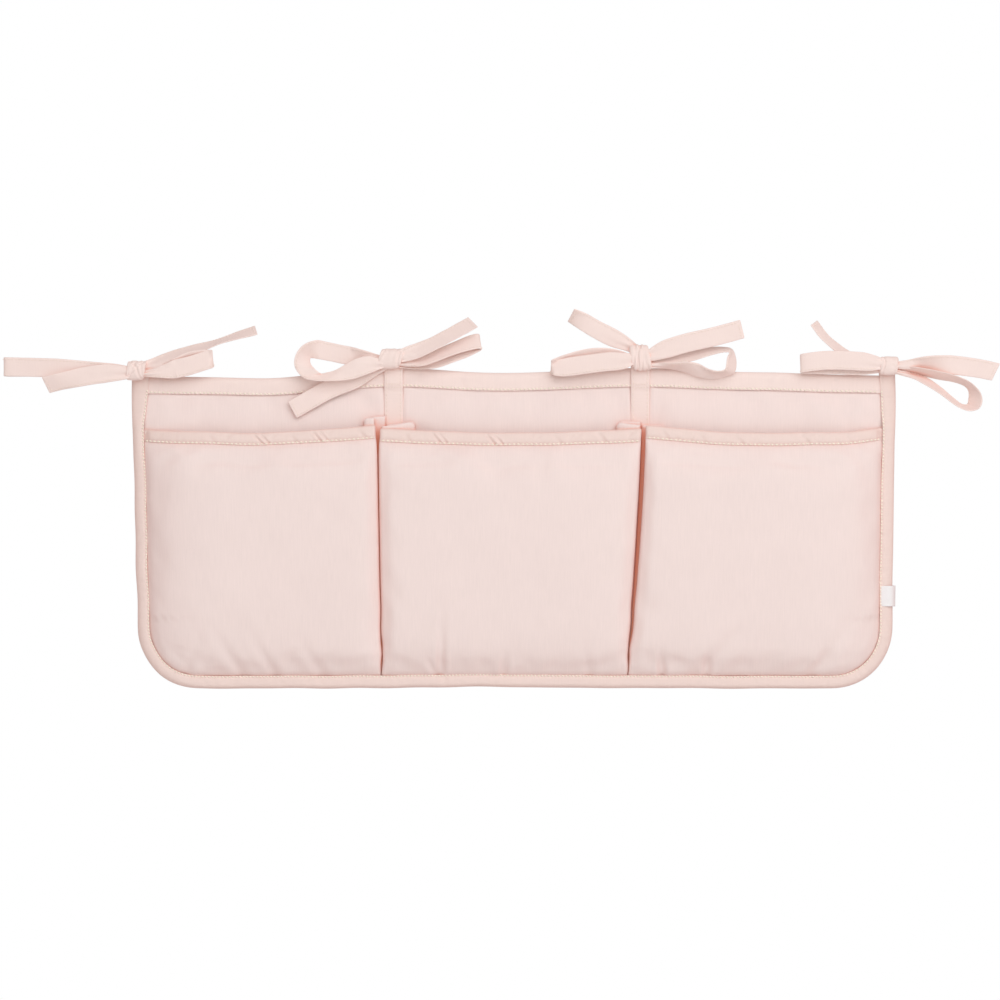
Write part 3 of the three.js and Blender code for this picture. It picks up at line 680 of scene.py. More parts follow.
def panel_pad():
    """Front and back cover of the padded panel, stuffed between the tapes, the straps and the seams."""
    x = steps(-296, 296, 2.6)
    share = stretches((0.34, 44), (1, 52))
    bottom = bottom_line(x, PAD_INSET)
    z = -2.0 + (bottom[:, None] + 2.0) * share[None, :]
    x = np.broadcast_to(x[:, None], z.shape)
    lip = np.minimum(from_lip(x, z), -z - TOP_MARGIN)
    strap = np.min([np.abs(x - place) for place in STRAP_X.values()], axis=0)
    pressed = (1 - smoothstep(strap, 5.0, 9.5)) * (1 - smoothstep(-z, 38, 46))
    pressed = pressed * smoothstep(-z, TOP_MARGIN - 2, TOP_MARGIN + 4)
    front = sewn(x, pad_front(x, z) - 2.0 * pressed, z)
    back = sewn(x, 0.9 * (1 - clamp(lip / 10)), z)
    seam = np.min([np.abs(x - divider_x(name, z)) for name in DIVIDERS], axis=0)
    free = ease(lip - 0.6, 7) * ease(strap - 7.4 + 99 * (z < -42), 5) * (z > -62)
    free_back = ease(lip - 0.6, 7) * ease(seam - 1.0 + 99 * (z > -42), 7)
    front, back = inflate([[front, free, 1.4, 0.02, 2.0],
                           [back[:, ::-1], free_back[:, ::-1], 1.2, 0.02, 2.4]])
    back = back[:, ::-1]
    obj = slab_piece("panel_pad", front, back, x, z, cotton, subdivide=0)
    dress(obj, "panel", "cotton", "back_cover", "panel_wadding", "front_cover")


# The pockets

def pocket_sides(name, z):
    """Where the two sides of a pocket lie: a fold, or a side sewn into the edge tape."""
    reach = np.full(z.shape, PANEL_HALF - PAD_INSET)
    left = {"left": -reach, "middle": fold_x("left", 1, z), "right": fold_x("right", 1, z)}[name]
    right = {"left": fold_x("left", -1, z), "middle": fold_x("right", -1, z), "right": reach}[name]
    return left, right


def mouth_line(name, share):
    size = POCKETS[name]
    curl = size["curl"] * smoothstep(share, 0.8, 1.0)
    return -size["drop"] - size["sag"] * 4 * share * (1 - share) + curl


def from_sewn_side(name, x, z):
    """How far a point lies from the side where its pocket is sewn into the edge tape."""
    side = POCKETS[name]["sewn"]
    return PANEL_HALF - tape_width(side * 300 + 0 * x, z) - side * x if side else np.full(x.shape, FAR)


def from_fold(name, x, z):
    """How far a point lies from the nearer fold of its pocket."""
    side = POCKETS[name]["sewn"]
    left, right = pocket_sides(name, z)
    return np.minimum(x - left + FAR * (side == -1), right - x + FAR * (side == 1))


def cavity_depth(name, x, z, share):
    """Depth of a pocket's back: on the panel at the bottom and along a sewn side, off it at the mouth."""
    mouth = mouth_line(name, share) - MOUTH_TAPE_WIDTH
    down = clamp((mouth - z) / (mouth - bottom_line(x, BOTTOM_TAPE_WIDTH)))
    stand = CAVITY * ease(from_sewn_side(name, x, z), 62) * (1 - down**2.2)
    return pad_front(x, np.minimum(z, mouth)) + 0.4 + stand


def pad_shares(name, spacing):
    """Columns of a pocket's grid: fine where a free side turns round, even elsewhere."""
    turn = np.array([0, 0.25, 0.7, 1.3, 2.1, 3.1, 4.4, 6.0]) / POCKET_WIDTH
    even = np.linspace(turn[-1], 1 - turn[-1], int(POCKET_WIDTH / spacing))
    left = np.linspace(0, turn[-1], 4) if name == "left" else turn
    right = 1 - (np.linspace(0, turn[-1], 4) if name == "right" else turn)[::-1]
    return np.concatenate([left[:-1], even, right[1:]])


# Valleys that run up from the bottom seam: place, slant, height, width and depth of each
PUCKERS = {
    "left": ((-216, -60, 26, 4.5, 0.9), (-190, -55, 24, 4.0, 0.8), (-152, -60, 20, 4.5, 0.8),
             (-262, 40, 24, 4.0, 0.7)),
    "middle": ((-58, 3, 34, 2.6, 1.5), (-62, -40, 9, 2.4, 1.3), (-8, 6, 14, 2.6, 1.2),
               (60, -18, 20, 3.5, 0.7)),
    "right": ((117.5, -4, 16, 2.4, 1.8), (153, 4, 15, 2.4, 1.3), (146, 88, 36, 7.0, 0.9),
              (236, 66, 30, 5.0, 0.8)),
}
PUCKER_STRENGTH = 1.8


def pucker_depth(name, x, z):
    total = np.zeros(x.shape)
    up = z + PANEL_HEIGHT - BOTTOM_TAPE_WIDTH
    for place, slant, height, width, depth in PUCKERS[name]:
        offset = (x - place - slant * up / 100) / width
        fade = hill(np.maximum(up, 0) / height) * smoothstep(up, -2, 1.5)
        total += PUCKER_STRENGTH * depth * fade * valley(offset, 0.35, 2.1, both=True)
    return total


def pocket_grid(name):
    share = pad_shares(name, 2.2)
    top = mouth_line(name, share) - 1.0
    sides = pocket_sides(name, np.full(share.shape, -200.0))
    bottom = bottom_line(mix(*sides, share), PAD_INSET)
    down = stretches((0.14, 22), (0.85, 48), (1, 22))
    z = top[:, None] + (bottom - top)[:, None] * down[None, :]
    share = np.broadcast_to(share[:, None], z.shape)
    return share, mix(*pocket_sides(name, z), share), z


def pocket_depths(name, share, x, z):
    """Depths of a pocket's back and front, and how far each point lies from the nearest seam or fold."""
    fold = from_fold(name, x, z)
    side = from_sewn_side(name, x, z)
    mouth = mouth_line(name, share) - MOUTH_TAPE_WIDTH - z
    lip = from_lip(x, z)
    bottom = np.minimum(lip, FAR) if POCKETS[name]["sewn"] == 0 else np.where(z < -190, lip, FAR)
    bottom = np.minimum(bottom, z - bottom_line(x, BOTTOM_TAPE_WIDTH))
    full = mix(0.35, 1, ease(fold, 11)) * (0.5 * ease(mouth, 11) + 0.5 * ease(mouth, 30))
    full = full * (0.5 * rounded(side, 46) + 0.5 * rounded(side, 17))
    full = full * (0.65 * rounded(bottom, 60) + 0.35 * rounded(bottom, 24))
    seam = np.minimum(side, bottom)
    edge = mix(EDGE_THICKNESS * 0.55, EDGE_THICKNESS, smoothstep(seam, -2, 9))
    thick = mix(edge, PAD_THICKNESS, full) * mix(0.6, 1, clamp(1 + seam / 6))
    thick = thick - 0.5 * hill(mouth, 0, 1.6) - 0.35 * hill(seam, 0, 1.4)
    turn = rounded(fold, 2.7)
    middle = cavity_depth(name, x, z, share) + thick / 2
    return middle - thick / 2 * turn, middle + thick / 2 * turn, np.minimum(np.minimum(mouth, seam), fold)


def carry(obj):
    """Bakes a pocket piece's placement into its mesh."""
    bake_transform(obj)


def pocket_pads():
    """Each pocket's padded wall, stuffed between its tapes and folds."""
    made, jobs = {}, []
    for number, name in enumerate(POCKETS):
        share, x, z = pocket_grid(name)
        back, front, clear = pocket_depths(name, share, x, z)
        uneven = waves(x, z, 30 + number, 90, 0.30) + waves(x, z, 36 + number, 28, 0.10)
        front = sewn(x, front + uneven * ease(clear, 14), z)
        made[name] = [x, z, sewn(x, back, z), front]
        jobs.append([front, ease(clear - 0.4, 9), 1.5, 0.016, 1.7])
    for name, points in zip(POCKETS, inflate(jobs)):
        made[name][3] = points
    for name, (x, z, back, front) in made.items():
        front[..., 1] += pucker_depth(name, x, z)
        obj = slab_piece(f"pocket_{name}_pad", front, back, x, z, cotton)
        dress(obj, None, "cotton", *(f"pocket_{name}_{part}" for part in ("lining", "wadding", "face")))
        carry(obj)


# Slanting folds pulled into the mouth tapes: place, slant, width and depth of each
MOUTH_FOLDS = {
    "left": ((-201, 9, 1.2, 1.3), (-195.5, 9, 1.1, 1.0), (-155, 8, 1.2, 1.2), (-149.5, 8, 1.1, 0.9),
             (-238, 6, 2.4, 0.5), (-120, 9, 2.0, 0.7), (-174, 7, 2.2, 0.5)),
    "middle": ((-61, 9, 1.2, 1.3), (-55.5, 9, 1.1, 1.0), (-18, 10, 1.2, 1.3), (-12, 10, 1.1, 1.0),
               (34, 8, 2.2, 0.6), (-84, 7, 2.0, 0.5), (68, 8, 2.2, 0.6)),
    "right": ((118, 8, 2.2, 0.6), (147, 7, 2.4, 0.5), (176, 9, 2.1, 0.6), (228, 8, 2.2, 0.6),
              (262, 8, 2.2, 0.5)),
}


def mouth_marks(name, number, x, part):
    """How deep each point of a mouth tape lies in its folds and creases."""
    marks = creases(x[:, None], part, 40 + number, 10, 1.8, 5.5, 0.5)
    for place, slant, wide, deep in MOUTH_FOLDS[name]:
        marks += deep * valley((x[:, None] - slant * (part - 0.5) - place) / wide, 0.5, 1.7)
    marks = marks * smoothstep(part, 0.02, 0.35) * (1 - smoothstep(part, 0.85, 0.97))
    return marks + (0.3 + 0.2 * np.sin(x / 31 + number))[:, None] * hill(part, 0.27, 0.07)


def mouth_tape(name, number):
    """The tape folded over a pocket's mouth. Returns its outer face, for the stitches."""
    share = pad_shares(name, MOUTH_SPACING)
    mouth = mouth_line(name, share)
    x = mix(*pocket_sides(name, mouth), share)
    back = cavity_depth(name, x, mouth, share)
    side = from_sewn_side(name, x, mouth)
    near = clamp(side / 5)
    thick = EDGE_THICKNESS * mix(0.6, 1.0, smoothstep(side, -2, 9)) * mix(0.6, 1, clamp(1 + side / 6))
    thick = thick * mix(0.55, 1, near)
    lip = back + thick + mix(0.3, 0.75, near)
    inside, depth = folded_section(lip, back - 0.75, MOUTH_TAPE_WIDTH, 0.9 * near, 0.65, 0.34)
    part = inside / MOUTH_TAPE_WIDTH
    closed = rounded(from_fold(name, x, mouth), 3.0)[:, None]
    middle = (back + thick / 2)[:, None]
    marks = mouth_marks(name, number, x, part) * np.where(FRONT_SIDE, 1, -0.6)
    depth = middle + (depth - marks - middle) * mix(0.2, 1, closed)
    tucked = 1.1 * (1 - closed) * (1 - smoothstep(part, 0, 0.5))
    uneven = waves(x, x * 0, 50 + number, 60, 0.25)[:, None]
    along = mix(*pocket_sides(name, mouth[:, None] - inside), share[:, None])
    outer = sewn(along, depth, mouth[:, None] - inside - tucked + uneven)
    obj = tape_piece(f"pocket_{name}_tape", outer, x - x[0], inside, depth)
    dress(obj, None, "cotton", f"pocket_{name}_binding")
    carry(obj)
    return outer


# Gussets by divider and side: the CAD's node, the pocket, how far it reaches in, and how far its top
# stands over the mouth at the fold, at its inner end and at the seam
GUSSETS = {
    ("left", -1): ("pleat_left_inner", "left", 11.5, (5.0, 5.6, 6.2)),
    ("left", 1): ("pleat_middle_left", "middle", 24.0, (1.5, 7.2, 3.0)),
    ("right", -1): ("pleat_middle_right", "middle", 18.5, (2.5, 6.4, 5.0)),
    ("right", 1): ("pleat_right_inner", "right", 16.0, (-0.5, 0.5, 0.0)),
}
SEAM_SHIFT = {"left": 7.5, "right": -2.0}
GUSSET_CORNER = 4.2
GUSSET_BEND = 0.75


def gusset(divider, side):
    """The pleated side of a pocket: in behind its fold and back out to the seam on the panel."""
    node, name, reach, rises = GUSSETS[divider, side]
    turn = np.linspace(0, math.pi, 19)
    inward = np.sin(turn) ** GUSSET_BEND
    corner = GUSSET_CORNER * (1 - rounded(reach * (1 - inward), GUSSET_CORNER))
    rise = np.interp(turn / math.pi, (0, 0.5, 1), rises) - corner
    down = np.concatenate([[0, 0.25, 0.8, 1.7, 3, 5, 7.5, 10], steps(13, 200, 5)])[:, None]
    bottom = -PANEL_HEIGHT + BOTTOM_TAPE_WIDTH + 0.6 + 0.02 * (200 - down)
    z = np.maximum(-POCKETS[name]["drop"] + rise[None, :] - down, bottom)
    fold = fold_x(divider, side, z) + side * 0.8
    seam = divider_x(divider, z) + SEAM_SHIFT[divider] * (1 - down_share(z))
    panel = pad_front(seam, z) + 1.3
    mouth_share = np.full(z.shape, 0.0 if side > 0 else 1.0)
    behind = np.maximum(cavity_depth(name, fold, z, mouth_share) - 1.5, panel + 0.8)
    x = mix(fold, seam, (turn / math.pi)[None, :]) + side * inward[None, :] * reach
    middle = sewn(x, mix(behind, panel, ((1 - np.cos(turn)) / 2)[None, :]), z)
    normal = unit(np.cross(np.gradient(middle, axis=1), np.array([0, 0, 1.0])))
    half = np.minimum(1.2, (behind - panel) * 0.42) * rounded(down + 0.01, 1.3)
    half = (half + 0.3 * hill(down, 2.0, 1.3))[..., None]
    obj = slab_piece(f"gusset_{node.split('_', 1)[1]}", middle + normal * half, middle - normal * half,
                     np.linspace(0, 40, len(turn))[None, :], z, shaded_lining_cotton)
    dress(obj, None, "lining", node)
    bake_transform(obj)


# Label

LABEL_TOP, LABEL_BOTTOM = -165, -181.4
LABEL_FRONT = 9.9
LABEL_THICKNESS = 0.35
# How far inside the right edge, and how far behind its front, the label's section lies at its points
# from the front lip to the back
LABEL_INSIDE = np.array([10.0, 9.4, 7, 4.5, 2.5, 1.0, -0.4, -1.6, -2.2, -2.2, -1.6, -0.4, 1.0, 2.4])
LABEL_FALL = np.array([0.9, 0.5, -0.1, -0.35, -0.2, 0.4, 1.6, 3.4, 5.2, 5.9, 7.5, 8.9, 9.7, 10.2])


def label():
    """A small bare tape folded over the right edge."""
    z = steps(LABEL_TOP, LABEL_BOTTOM, 0.9)[:, None]
    corner = 0.9 * (1 - rounded(np.minimum(LABEL_TOP - z, z - LABEL_BOTTOM), 1.2))
    at_lip = np.arange(len(LABEL_INSIDE)) < 2
    depth = LABEL_FRONT - LABEL_FALL
    outer = sewn(PANEL_HALF - LABEL_INSIDE[None, :] + corner * at_lip, depth[None, :], z)
    run = running(np.hypot(np.diff(LABEL_INSIDE), np.diff(depth)))
    inner = inner_face(outer, LABEL_THICKNESS, 3)
    obj = slab_piece("label_tape", outer, inner, run[None, :], z, label_satin)
    dress(obj, "panel", "label", "side_label")


# Ties

# Stations of each loop and free end, from the knot outwards and, for a loop, back to it: the x and z
# of one edge, the x and z of the other, the depth, and which way the ribbon leans across
RIBBON_ROUTES = {
    "outer_left_loop_left": [
        (-302.2, 7.1, -302.2, 2.4, 16, 0), (-310.9, 9.0, -310.9, 0.8, 16.5, 0),
        (-322.7, 10.2, -322.7, -0.2, 16.5, 0), (-335.3, 11.3, -335.3, -0.8, 16.5, 0),
        (-349.5, 12.6, -349.5, -1.3, 16.5, 0), (-362.9, 13.6, -362.9, -1.6, 16.3, 0),
        (-384.9, 14.5, -384.9, -1.3, 15.6, 0), (-397.5, 14.7, -397.5, -0.9, 14.6, 0),
        (-400.3, 14.5, -400.2, -0.6, 12.8, 0), (-397.5, 14.2, -397.5, -0.8, 11.2, 0),
        (-384.9, 13.9, -384.9, -0.9, 10.8, 0), (-362.9, 12.9, -362.9, -0.9, 10.6, 0),
        (-335.3, 10.2, -335.3, 0.0, 10.8, 0), (-316.4, 8.2, -316.4, 1.2, 11.5, 0),
        (-302.2, 6.3, -302.2, 2.4, 13, 0),
    ],
    "outer_left_tail_left": [
        (-301.4, 6.7, -301.4, -2.4, 19, 0), (-308.5, 7.9, -307.7, -3.9, 19.5, 0),
        (-316.4, 8.7, -316.0, -5.2, 20, 0), (-325.8, 8.7, -325.1, -6.8, 20, 0),
        (-336.6, 6.9, -335.0, -8.2, 20, 0), (-349.7, 3.5, -347.1, -10.1, 20, 0.6),
        (-360.5, 0.8, -356.2, -11.7, 20, 1), (-369.6, -1.6, -364.1, -13.9, 20, 1),
    ],
    "outer_left_tail_right": [
        (-290.4, 11.0, -288.8, 3.9, 14, 0), (-283.3, 13.7, -280.9, 5.5, 13, -0.8),
        (-275.4, 17.3, -272.3, 8.7, 11.5, -0.8), (-265.9, 20.6, -262.0, 13.0, 10.5, -0.8),
        (-255.7, 23.2, -251.0, 17.7, 10, -0.8), (-244.7, 26.0, -240.7, 20.8, 10, -0.8),
        (-234.4, 28.7, -230.9, 24.3, 10.5, -0.8), (-219.5, 33.9, -216.5, 28.1, 11, -0.8),
        (-210.0, 37.2, -207.2, 30.5, 11.3, -0.8), (-203.4, 39.5, -200.6, 32.1, 11.5, -0.8),
    ],
    "outer_left_loop_right": [
        (-288.8, 3.5, -288.8, -0.8, 19, 0), (-280.9, 5.7, -280.5, -1.8, 20.5, 0),
        (-273.0, 9.1, -271.9, -2.4, 21, 0), (-264.4, 13.1, -262.8, -2.4, 21, 0.6),
        (-254.9, 16.5, -253.3, -1.4, 21, 1), (-246.2, 19.2, -244.3, 1.6, 20.6, 1),
        (-239.2, 20.3, -237.6, 5.0, 20, 1), (-235.8, 19.9, -235.1, 6.7, 18, 1),
        (-238.4, 20.2, -236.8, 7.5, 15.8, 1), (-247.0, 20.0, -244.7, 7.5, 15, 1),
        (-258.1, 17.3, -255.7, 5.9, 14.5, 1), (-270.7, 11.4, -269.1, 3.5, 14.5, 0.5),
        (-280.9, 7.1, -280.1, 2.0, 15, 0), (-288.8, 4.3, -288.8, 0.8, 16, 0),
    ],
    "inner_left_loop_left": [
        (-102.0, 15.0, -102.0, 9.8, 14, 0), (-109.9, 17.7, -109.1, 8.8, 13, 0),
        (-120.2, 20.8, -119.0, 7.6, 12.5, 1), (-133.6, 24.3, -132.8, 8.4, 12.5, 1),
        (-146.2, 26.9, -145.4, 11.1, 13, 1), (-155.6, 27.7, -156.4, 13.5, 14, 1),
        (-164.3, 24.3, -159.4, 13.6, 15.5, 1), (-169.8, 18.1, -159.6, 11.3, 17, 1),
        (-172.0, 10.3, -158.3, 7.6, 18.5, 1), (-170.4, 3.9, -155.2, 4.7, 20, 1),
        (-164.7, -1.8, -150.5, 1.6, 21, 1), (-153.3, -4.4, -145.4, 2.4, 21.5, 0.6),
        (-139.9, -4.6, -138.7, 4.7, 21.8, 0.4), (-128.3, -3.5, -129.6, 10.1, 22, 0.2),
        (-118.6, -1.1, -120.6, 14.3, 21.8, 0), (-110.3, 2.4, -112.3, 15.0, 21, 0),
        (-102.0, 5.9, -102.0, 12.2, 19.5, 0),
    ],
    "inner_left_tail_left": [
        (-100.5, 11.0, -99.7, 4.7, 12.5, 0), (-108.4, 9.6, -105.6, 1.2, 12, 0),
        (-117.8, 6.7, -112.7, -3.6, 12, 0), (-128.8, 3.3, -122.1, -9.8, 12.2, 0),
        (-139.9, -0.6, -132.5, -14.0, 12.6, 0), (-151.2, -5.5, -143.8, -18.9, 13, 0),
        (-164.3, -12.8, -156.9, -26.3, 13.4, 0), (-177.2, -20.6, -170.4, -33.6, 13.6, 0),
    ],
    "inner_left_tail_right": [
        (-91.8, 18.9, -88.7, 10.2, 19, 0), (-84.7, 22.4, -81.2, 11.4, 20, -0.4),
        (-75.3, 25.6, -70.1, 15.0, 20.5, -0.8), (-65.8, 29.6, -59.5, 20.5, 20.5, -0.8),
        (-54.8, 35.3, -47.7, 26.8, 20.5, -0.8), (-44.5, 41.1, -37.0, 32.5, 20.3, -0.8),
        (-35.5, 45.9, -27.7, 37.7, 20, -0.8),
    ],
    "inner_left_loop_right": [
        (-88.7, 12.6, -88.7, 7.5, 16, 0), (-81.6, 13.4, -81.6, 6.8, 17, 0),
        (-72.1, 15.9, -71.7, 7.4, 17.5, -0.8), (-60.3, 20.5, -59.5, 11.2, 17.5, -0.8),
        (-45.3, 27.2, -44.0, 17.0, 17.3, -0.8), (-35.1, 31.5, -33.2, 19.9, 17, -0.8),
        (-28.3, 33.0, -26.2, 20.8, 16.2, -0.8), (-26.5, 32.3, -25.0, 20.0, 14.6, -0.8),
        (-29.6, 30.6, -27.5, 18.4, 13.4, -0.8), (-37.4, 27.6, -35.9, 14.3, 12.8, -0.8),
        (-48.5, 22.5, -47.7, 10.1, 12.4, -0.8), (-61.1, 17.3, -60.7, 5.8, 12.2, -0.48),
        (-73.7, 12.6, -73.7, 4.7, 12.4, 0), (-83.1, 10.6, -83.1, 5.5, 13, 0),
        (-89.4, 10.2, -89.4, 6.3, 14, 0),
    ],
    "inner_right_tail_left": [
        (98.1, 23.0, 93.0, 18.1, 14, 0), (91.0, 29.5, 85.2, 20.2, 12.5, 0),
        (81.6, 35.9, 74.8, 23.3, 12, 0), (68.2, 42.7, 60.8, 30.6, 12, 0),
        (57.1, 48.9, 50.0, 37.4, 12.2, 0.5), (47.7, 52.3, 42.5, 42.7, 12.5, 1),
    ],
    "inner_right_loop_left": [
        (93.4, 17.8, 94.2, 8.2, 19.5, 0), (86.3, 19.2, 87.9, 3.6, 20.5, 0),
        (74.5, 19.1, 74.9, 2.5, 20.8, 0), (60.3, 16.9, 60.3, 1.1, 20.6, 0),
        (46.9, 15.0, 47.7, -0.5, 20, 0), (36.6, 12.8, 37.0, -0.9, 19, 0),
        (30.8, 11.5, 30.7, 0.3, 17.6, 0), (29.4, 11.8, 29.5, 2.0, 15.6, 1),
        (32.3, 13.2, 32.3, 3.2, 14, 1), (39.0, 15.9, 39.0, 4.3, 13.2, 1),
        (49.2, 19.2, 49.2, 6.0, 12.8, 1), (60.3, 21.4, 60.3, 7.6, 12.6, 1),
        (71.3, 21.8, 71.3, 9.0, 12.6, 0.6), (82.3, 20.2, 82.3, 10.4, 13, 0),
        (93.4, 16.2, 93.4, 11.3, 14, 0),
    ],
    "inner_right_tail_right": [
        (105.6, 20.5, 108.0, 11.0, 19, 0), (112.3, 25.5, 115.0, 11.7, 20.3, 0),
        (122.5, 30.1, 126.2, 14.2, 20.8, 0), (135.6, 34.0, 139.1, 17.8, 20.8, 0),
        (150.9, 37.2, 154.5, 21.4, 20.6, 0), (164.3, 40.5, 168.2, 25.0, 20.2, 0),
        (177.7, 43.7, 181.3, 29.2, 19.8, 0),
    ],
    "inner_right_loop_right": [
        (107.6, 11.8, 107.6, 7.9, 13.5, 0), (117.8, 14.7, 118.6, 8.2, 13, -0.8),
        (128.1, 17.2, 129.6, 9.3, 13, -0.8), (140.7, 20.2, 141.9, 11.7, 13.2, -0.8),
        (154.1, 22.5, 155.6, 16.1, 13.6, -0.8), (164.3, 22.7, 163.8, 18.1, 14.4, -0.8),
        (171.9, 21.0, 169.3, 17.7, 15.6, -0.8), (174.5, 15.3, 167.6, 13.9, 16.8, -0.8),
        (175.0, 8.7, 166.8, 9.0, 17.8, -0.8), (173.4, 2.4, 165.6, 4.6, 18.6, -0.8),
        (166.7, -0.8, 160.4, 3.2, 19, -0.8), (157.5, -3.0, 152.0, 5.5, 19, -0.8),
        (147.1, -1.8, 144.6, 9.2, 18.8, -0.8), (134.4, 2.5, 135.1, 10.6, 18.4, -0.8),
        (122.5, 5.4, 123.8, 9.6, 18, -0.8), (107.6, 6.3, 107.6, 9.8, 17, 0),
    ],
    "outer_right_tail_left": [
        (292.0, 11.4, 290.4, 7.1, 13.5, 0), (279.3, 14.2, 273.8, 8.4, 12, -0.7),
        (266.7, 18.3, 259.3, 14.5, 11, -0.7), (257.3, 24.1, 249.7, 21.1, 10.8, -0.7),
        (248.1, 31.7, 240.3, 29.5, 11, -0.7), (238.9, 43.7, 232.9, 39.4, 11.5, -0.7),
    ],
    "outer_right_loop_left": [
        (292.0, 12.6, 292.0, 5.7, 19, 0), (283.3, 15.8, 283.3, 3.8, 20, 0),
        (273.8, 18.4, 274.6, 3.2, 20.4, 0), (259.6, 20.0, 260.4, 3.2, 20.4, 0),
        (243.9, 20.2, 245.1, 3.2, 20, 0), (232.1, 18.9, 232.5, 2.0, 19, 0),
        (226.2, 18.0, 226.6, 1.1, 17.4, 0), (224.8, 17.3, 225.1, 0.6, 15.4, 0),
        (228.1, 16.9, 228.4, 0.4, 13.8, 0), (238.4, 16.5, 238.4, 0.4, 13, 0),
        (257.3, 16.1, 257.3, 0.5, 12.6, 0), (274.6, 13.4, 274.6, 0.5, 13, 0),
        (292.0, 9.1, 292.0, 3.2, 14, 0),
    ],
    "outer_right_tail_right": [
        (303.0, 11.2, 303.0, 4.9, 19, 0), (310.9, 12.6, 310.9, 4.9, 20, 0),
        (318.7, 14.3, 318.7, 4.7, 20.5, 0.6), (328.2, 15.5, 327.9, 3.5, 20.8, 0.8),
        (340.0, 15.8, 339.5, 1.4, 20.8, 0.5), (353.8, 15.5, 351.5, -1.1, 20.5, 0),
        (369.2, 13.6, 363.3, -3.3, 20, 0), (382.2, 10.6, 374.5, -5.4, 19.5, 0),
    ],
    "outer_right_loop_right": [
        (303.0, 6.8, 303.0, 3.2, 15.5, 0), (312.4, 6.6, 312.0, 1.7, 15, 1),
        (321.9, 5.4, 321.1, 0.0, 14.8, 1), (334.5, 3.0, 333.7, -2.7, 14.8, 1),
        (346.3, -0.3, 346.0, -5.0, 15, 1), (358.5, -5.8, 354.8, -8.2, 15.6, 1),
        (365.7, -13.4, 357.7, -12.3, 16.6, 1), (367.1, -21.0, 357.5, -18.1, 17.6, 1),
        (364.4, -26.0, 356.3, -22.5, 18.4, 1), (357.8, -28.0, 351.5, -22.1, 18.8, 1),
        (349.5, -25.7, 344.8, -16.9, 19, 1), (336.1, -16.5, 335.1, -8.5, 18.8, 1),
        (324.3, -8.7, 325.8, -1.9, 18.4, 1), (313.2, -2.5, 314.8, 1.7, 17.8, 1),
        (303.0, 0.5, 303.0, 3.9, 17, 0),
    ],
}


CURVE_STEPS = 12


def smooth_path(rows, spacing):
    """A smooth curve through rows of two edges, a depth and a lean, with even steps along its middle."""
    def middle(part):
        return np.hstack([(part[:, 0:2] + part[:, 2:4]) / 2, part[:, 4:5]])

    rows = np.asarray(rows, float)
    knots = running(np.sqrt(np.linalg.norm(np.diff(middle(rows), axis=0), axis=1)))
    padded = np.vstack([2 * rows[0] - rows[1], rows, 2 * rows[-1] - rows[-2]])
    times = np.concatenate([[-(knots[1] - knots[0])], knots, [2 * knots[-1] - knots[-2]]])
    out = []
    for i in range(1, len(padded) - 2):
        p0, p1, p2, p3 = padded[i - 1:i + 3]
        t0, t1, t2, t3 = times[i - 1:i + 3]
        for t in np.linspace(t1, t2, CURVE_STEPS, endpoint=False):
            a1 = (t1 - t) / (t1 - t0) * p0 + (t - t0) / (t1 - t0) * p1
            a2 = (t2 - t) / (t2 - t1) * p1 + (t - t1) / (t2 - t1) * p2
            a3 = (t3 - t) / (t3 - t2) * p2 + (t - t2) / (t3 - t2) * p3
            b1 = (t2 - t) / (t2 - t0) * a1 + (t - t0) / (t2 - t0) * a2
            b2 = (t3 - t) / (t3 - t1) * a2 + (t - t1) / (t3 - t1) * a3
            out.append((t2 - t) / (t2 - t1) * b1 + (t - t1) / (t2 - t1) * b2)
    out = np.array(out + [rows[-1]])
    run = line_run(middle(out))
    even = steps(0, run[-1], spacing)
    return np.stack([np.interp(even, run, out[:, k]) for k in range(out.shape[1])], 1), even


RIBBON_SPACING = 1.2
RIBBON_COLUMNS = np.linspace(-0.5, 0.5, 13)[None, :]
# The bows lie flatter than their routes were drawn, toward this depth and to this share
BOW_BACK, BOW_SHARE = 8.5, 0.72
GATHERED_SHARE = 0.42
GATHER_LENGTH = 24
RUCK, RUCK_FADE = 1.15, 11.0


def tie_of(name):
    return name.split("_loop")[0].split("_tail")[0]


def gathered_route(name, looped):
    """The stations of a ribbon, whose ends at the knot are drawn into its middle."""
    route = RIBBON_ROUTES[name]
    stations = np.array([route[0], *route] + ([route[-1]] if looped else []), float)
    stations[:, 4] = BOW_BACK + BOW_SHARE * (stations[:, 4] - BOW_BACK)
    x, z, depth = KNOTS[tie_of(name)]["at"]
    for end in ([0, -1] if looped else [0]):
        heart = (stations[end, 1] + stations[end, 3]) / 2
        stations[end, [0, 2]] += 0.55 * (x - stations[end, [0, 2]])
        stations[end, [1, 3]] += 0.3 * (mix(z, heart, 0.5) - stations[end, [1, 3]])
        stations[end, 4] = mix(stations[end, 4], depth, 0.5)
    return smooth_path(stations, RIBBON_SPACING)


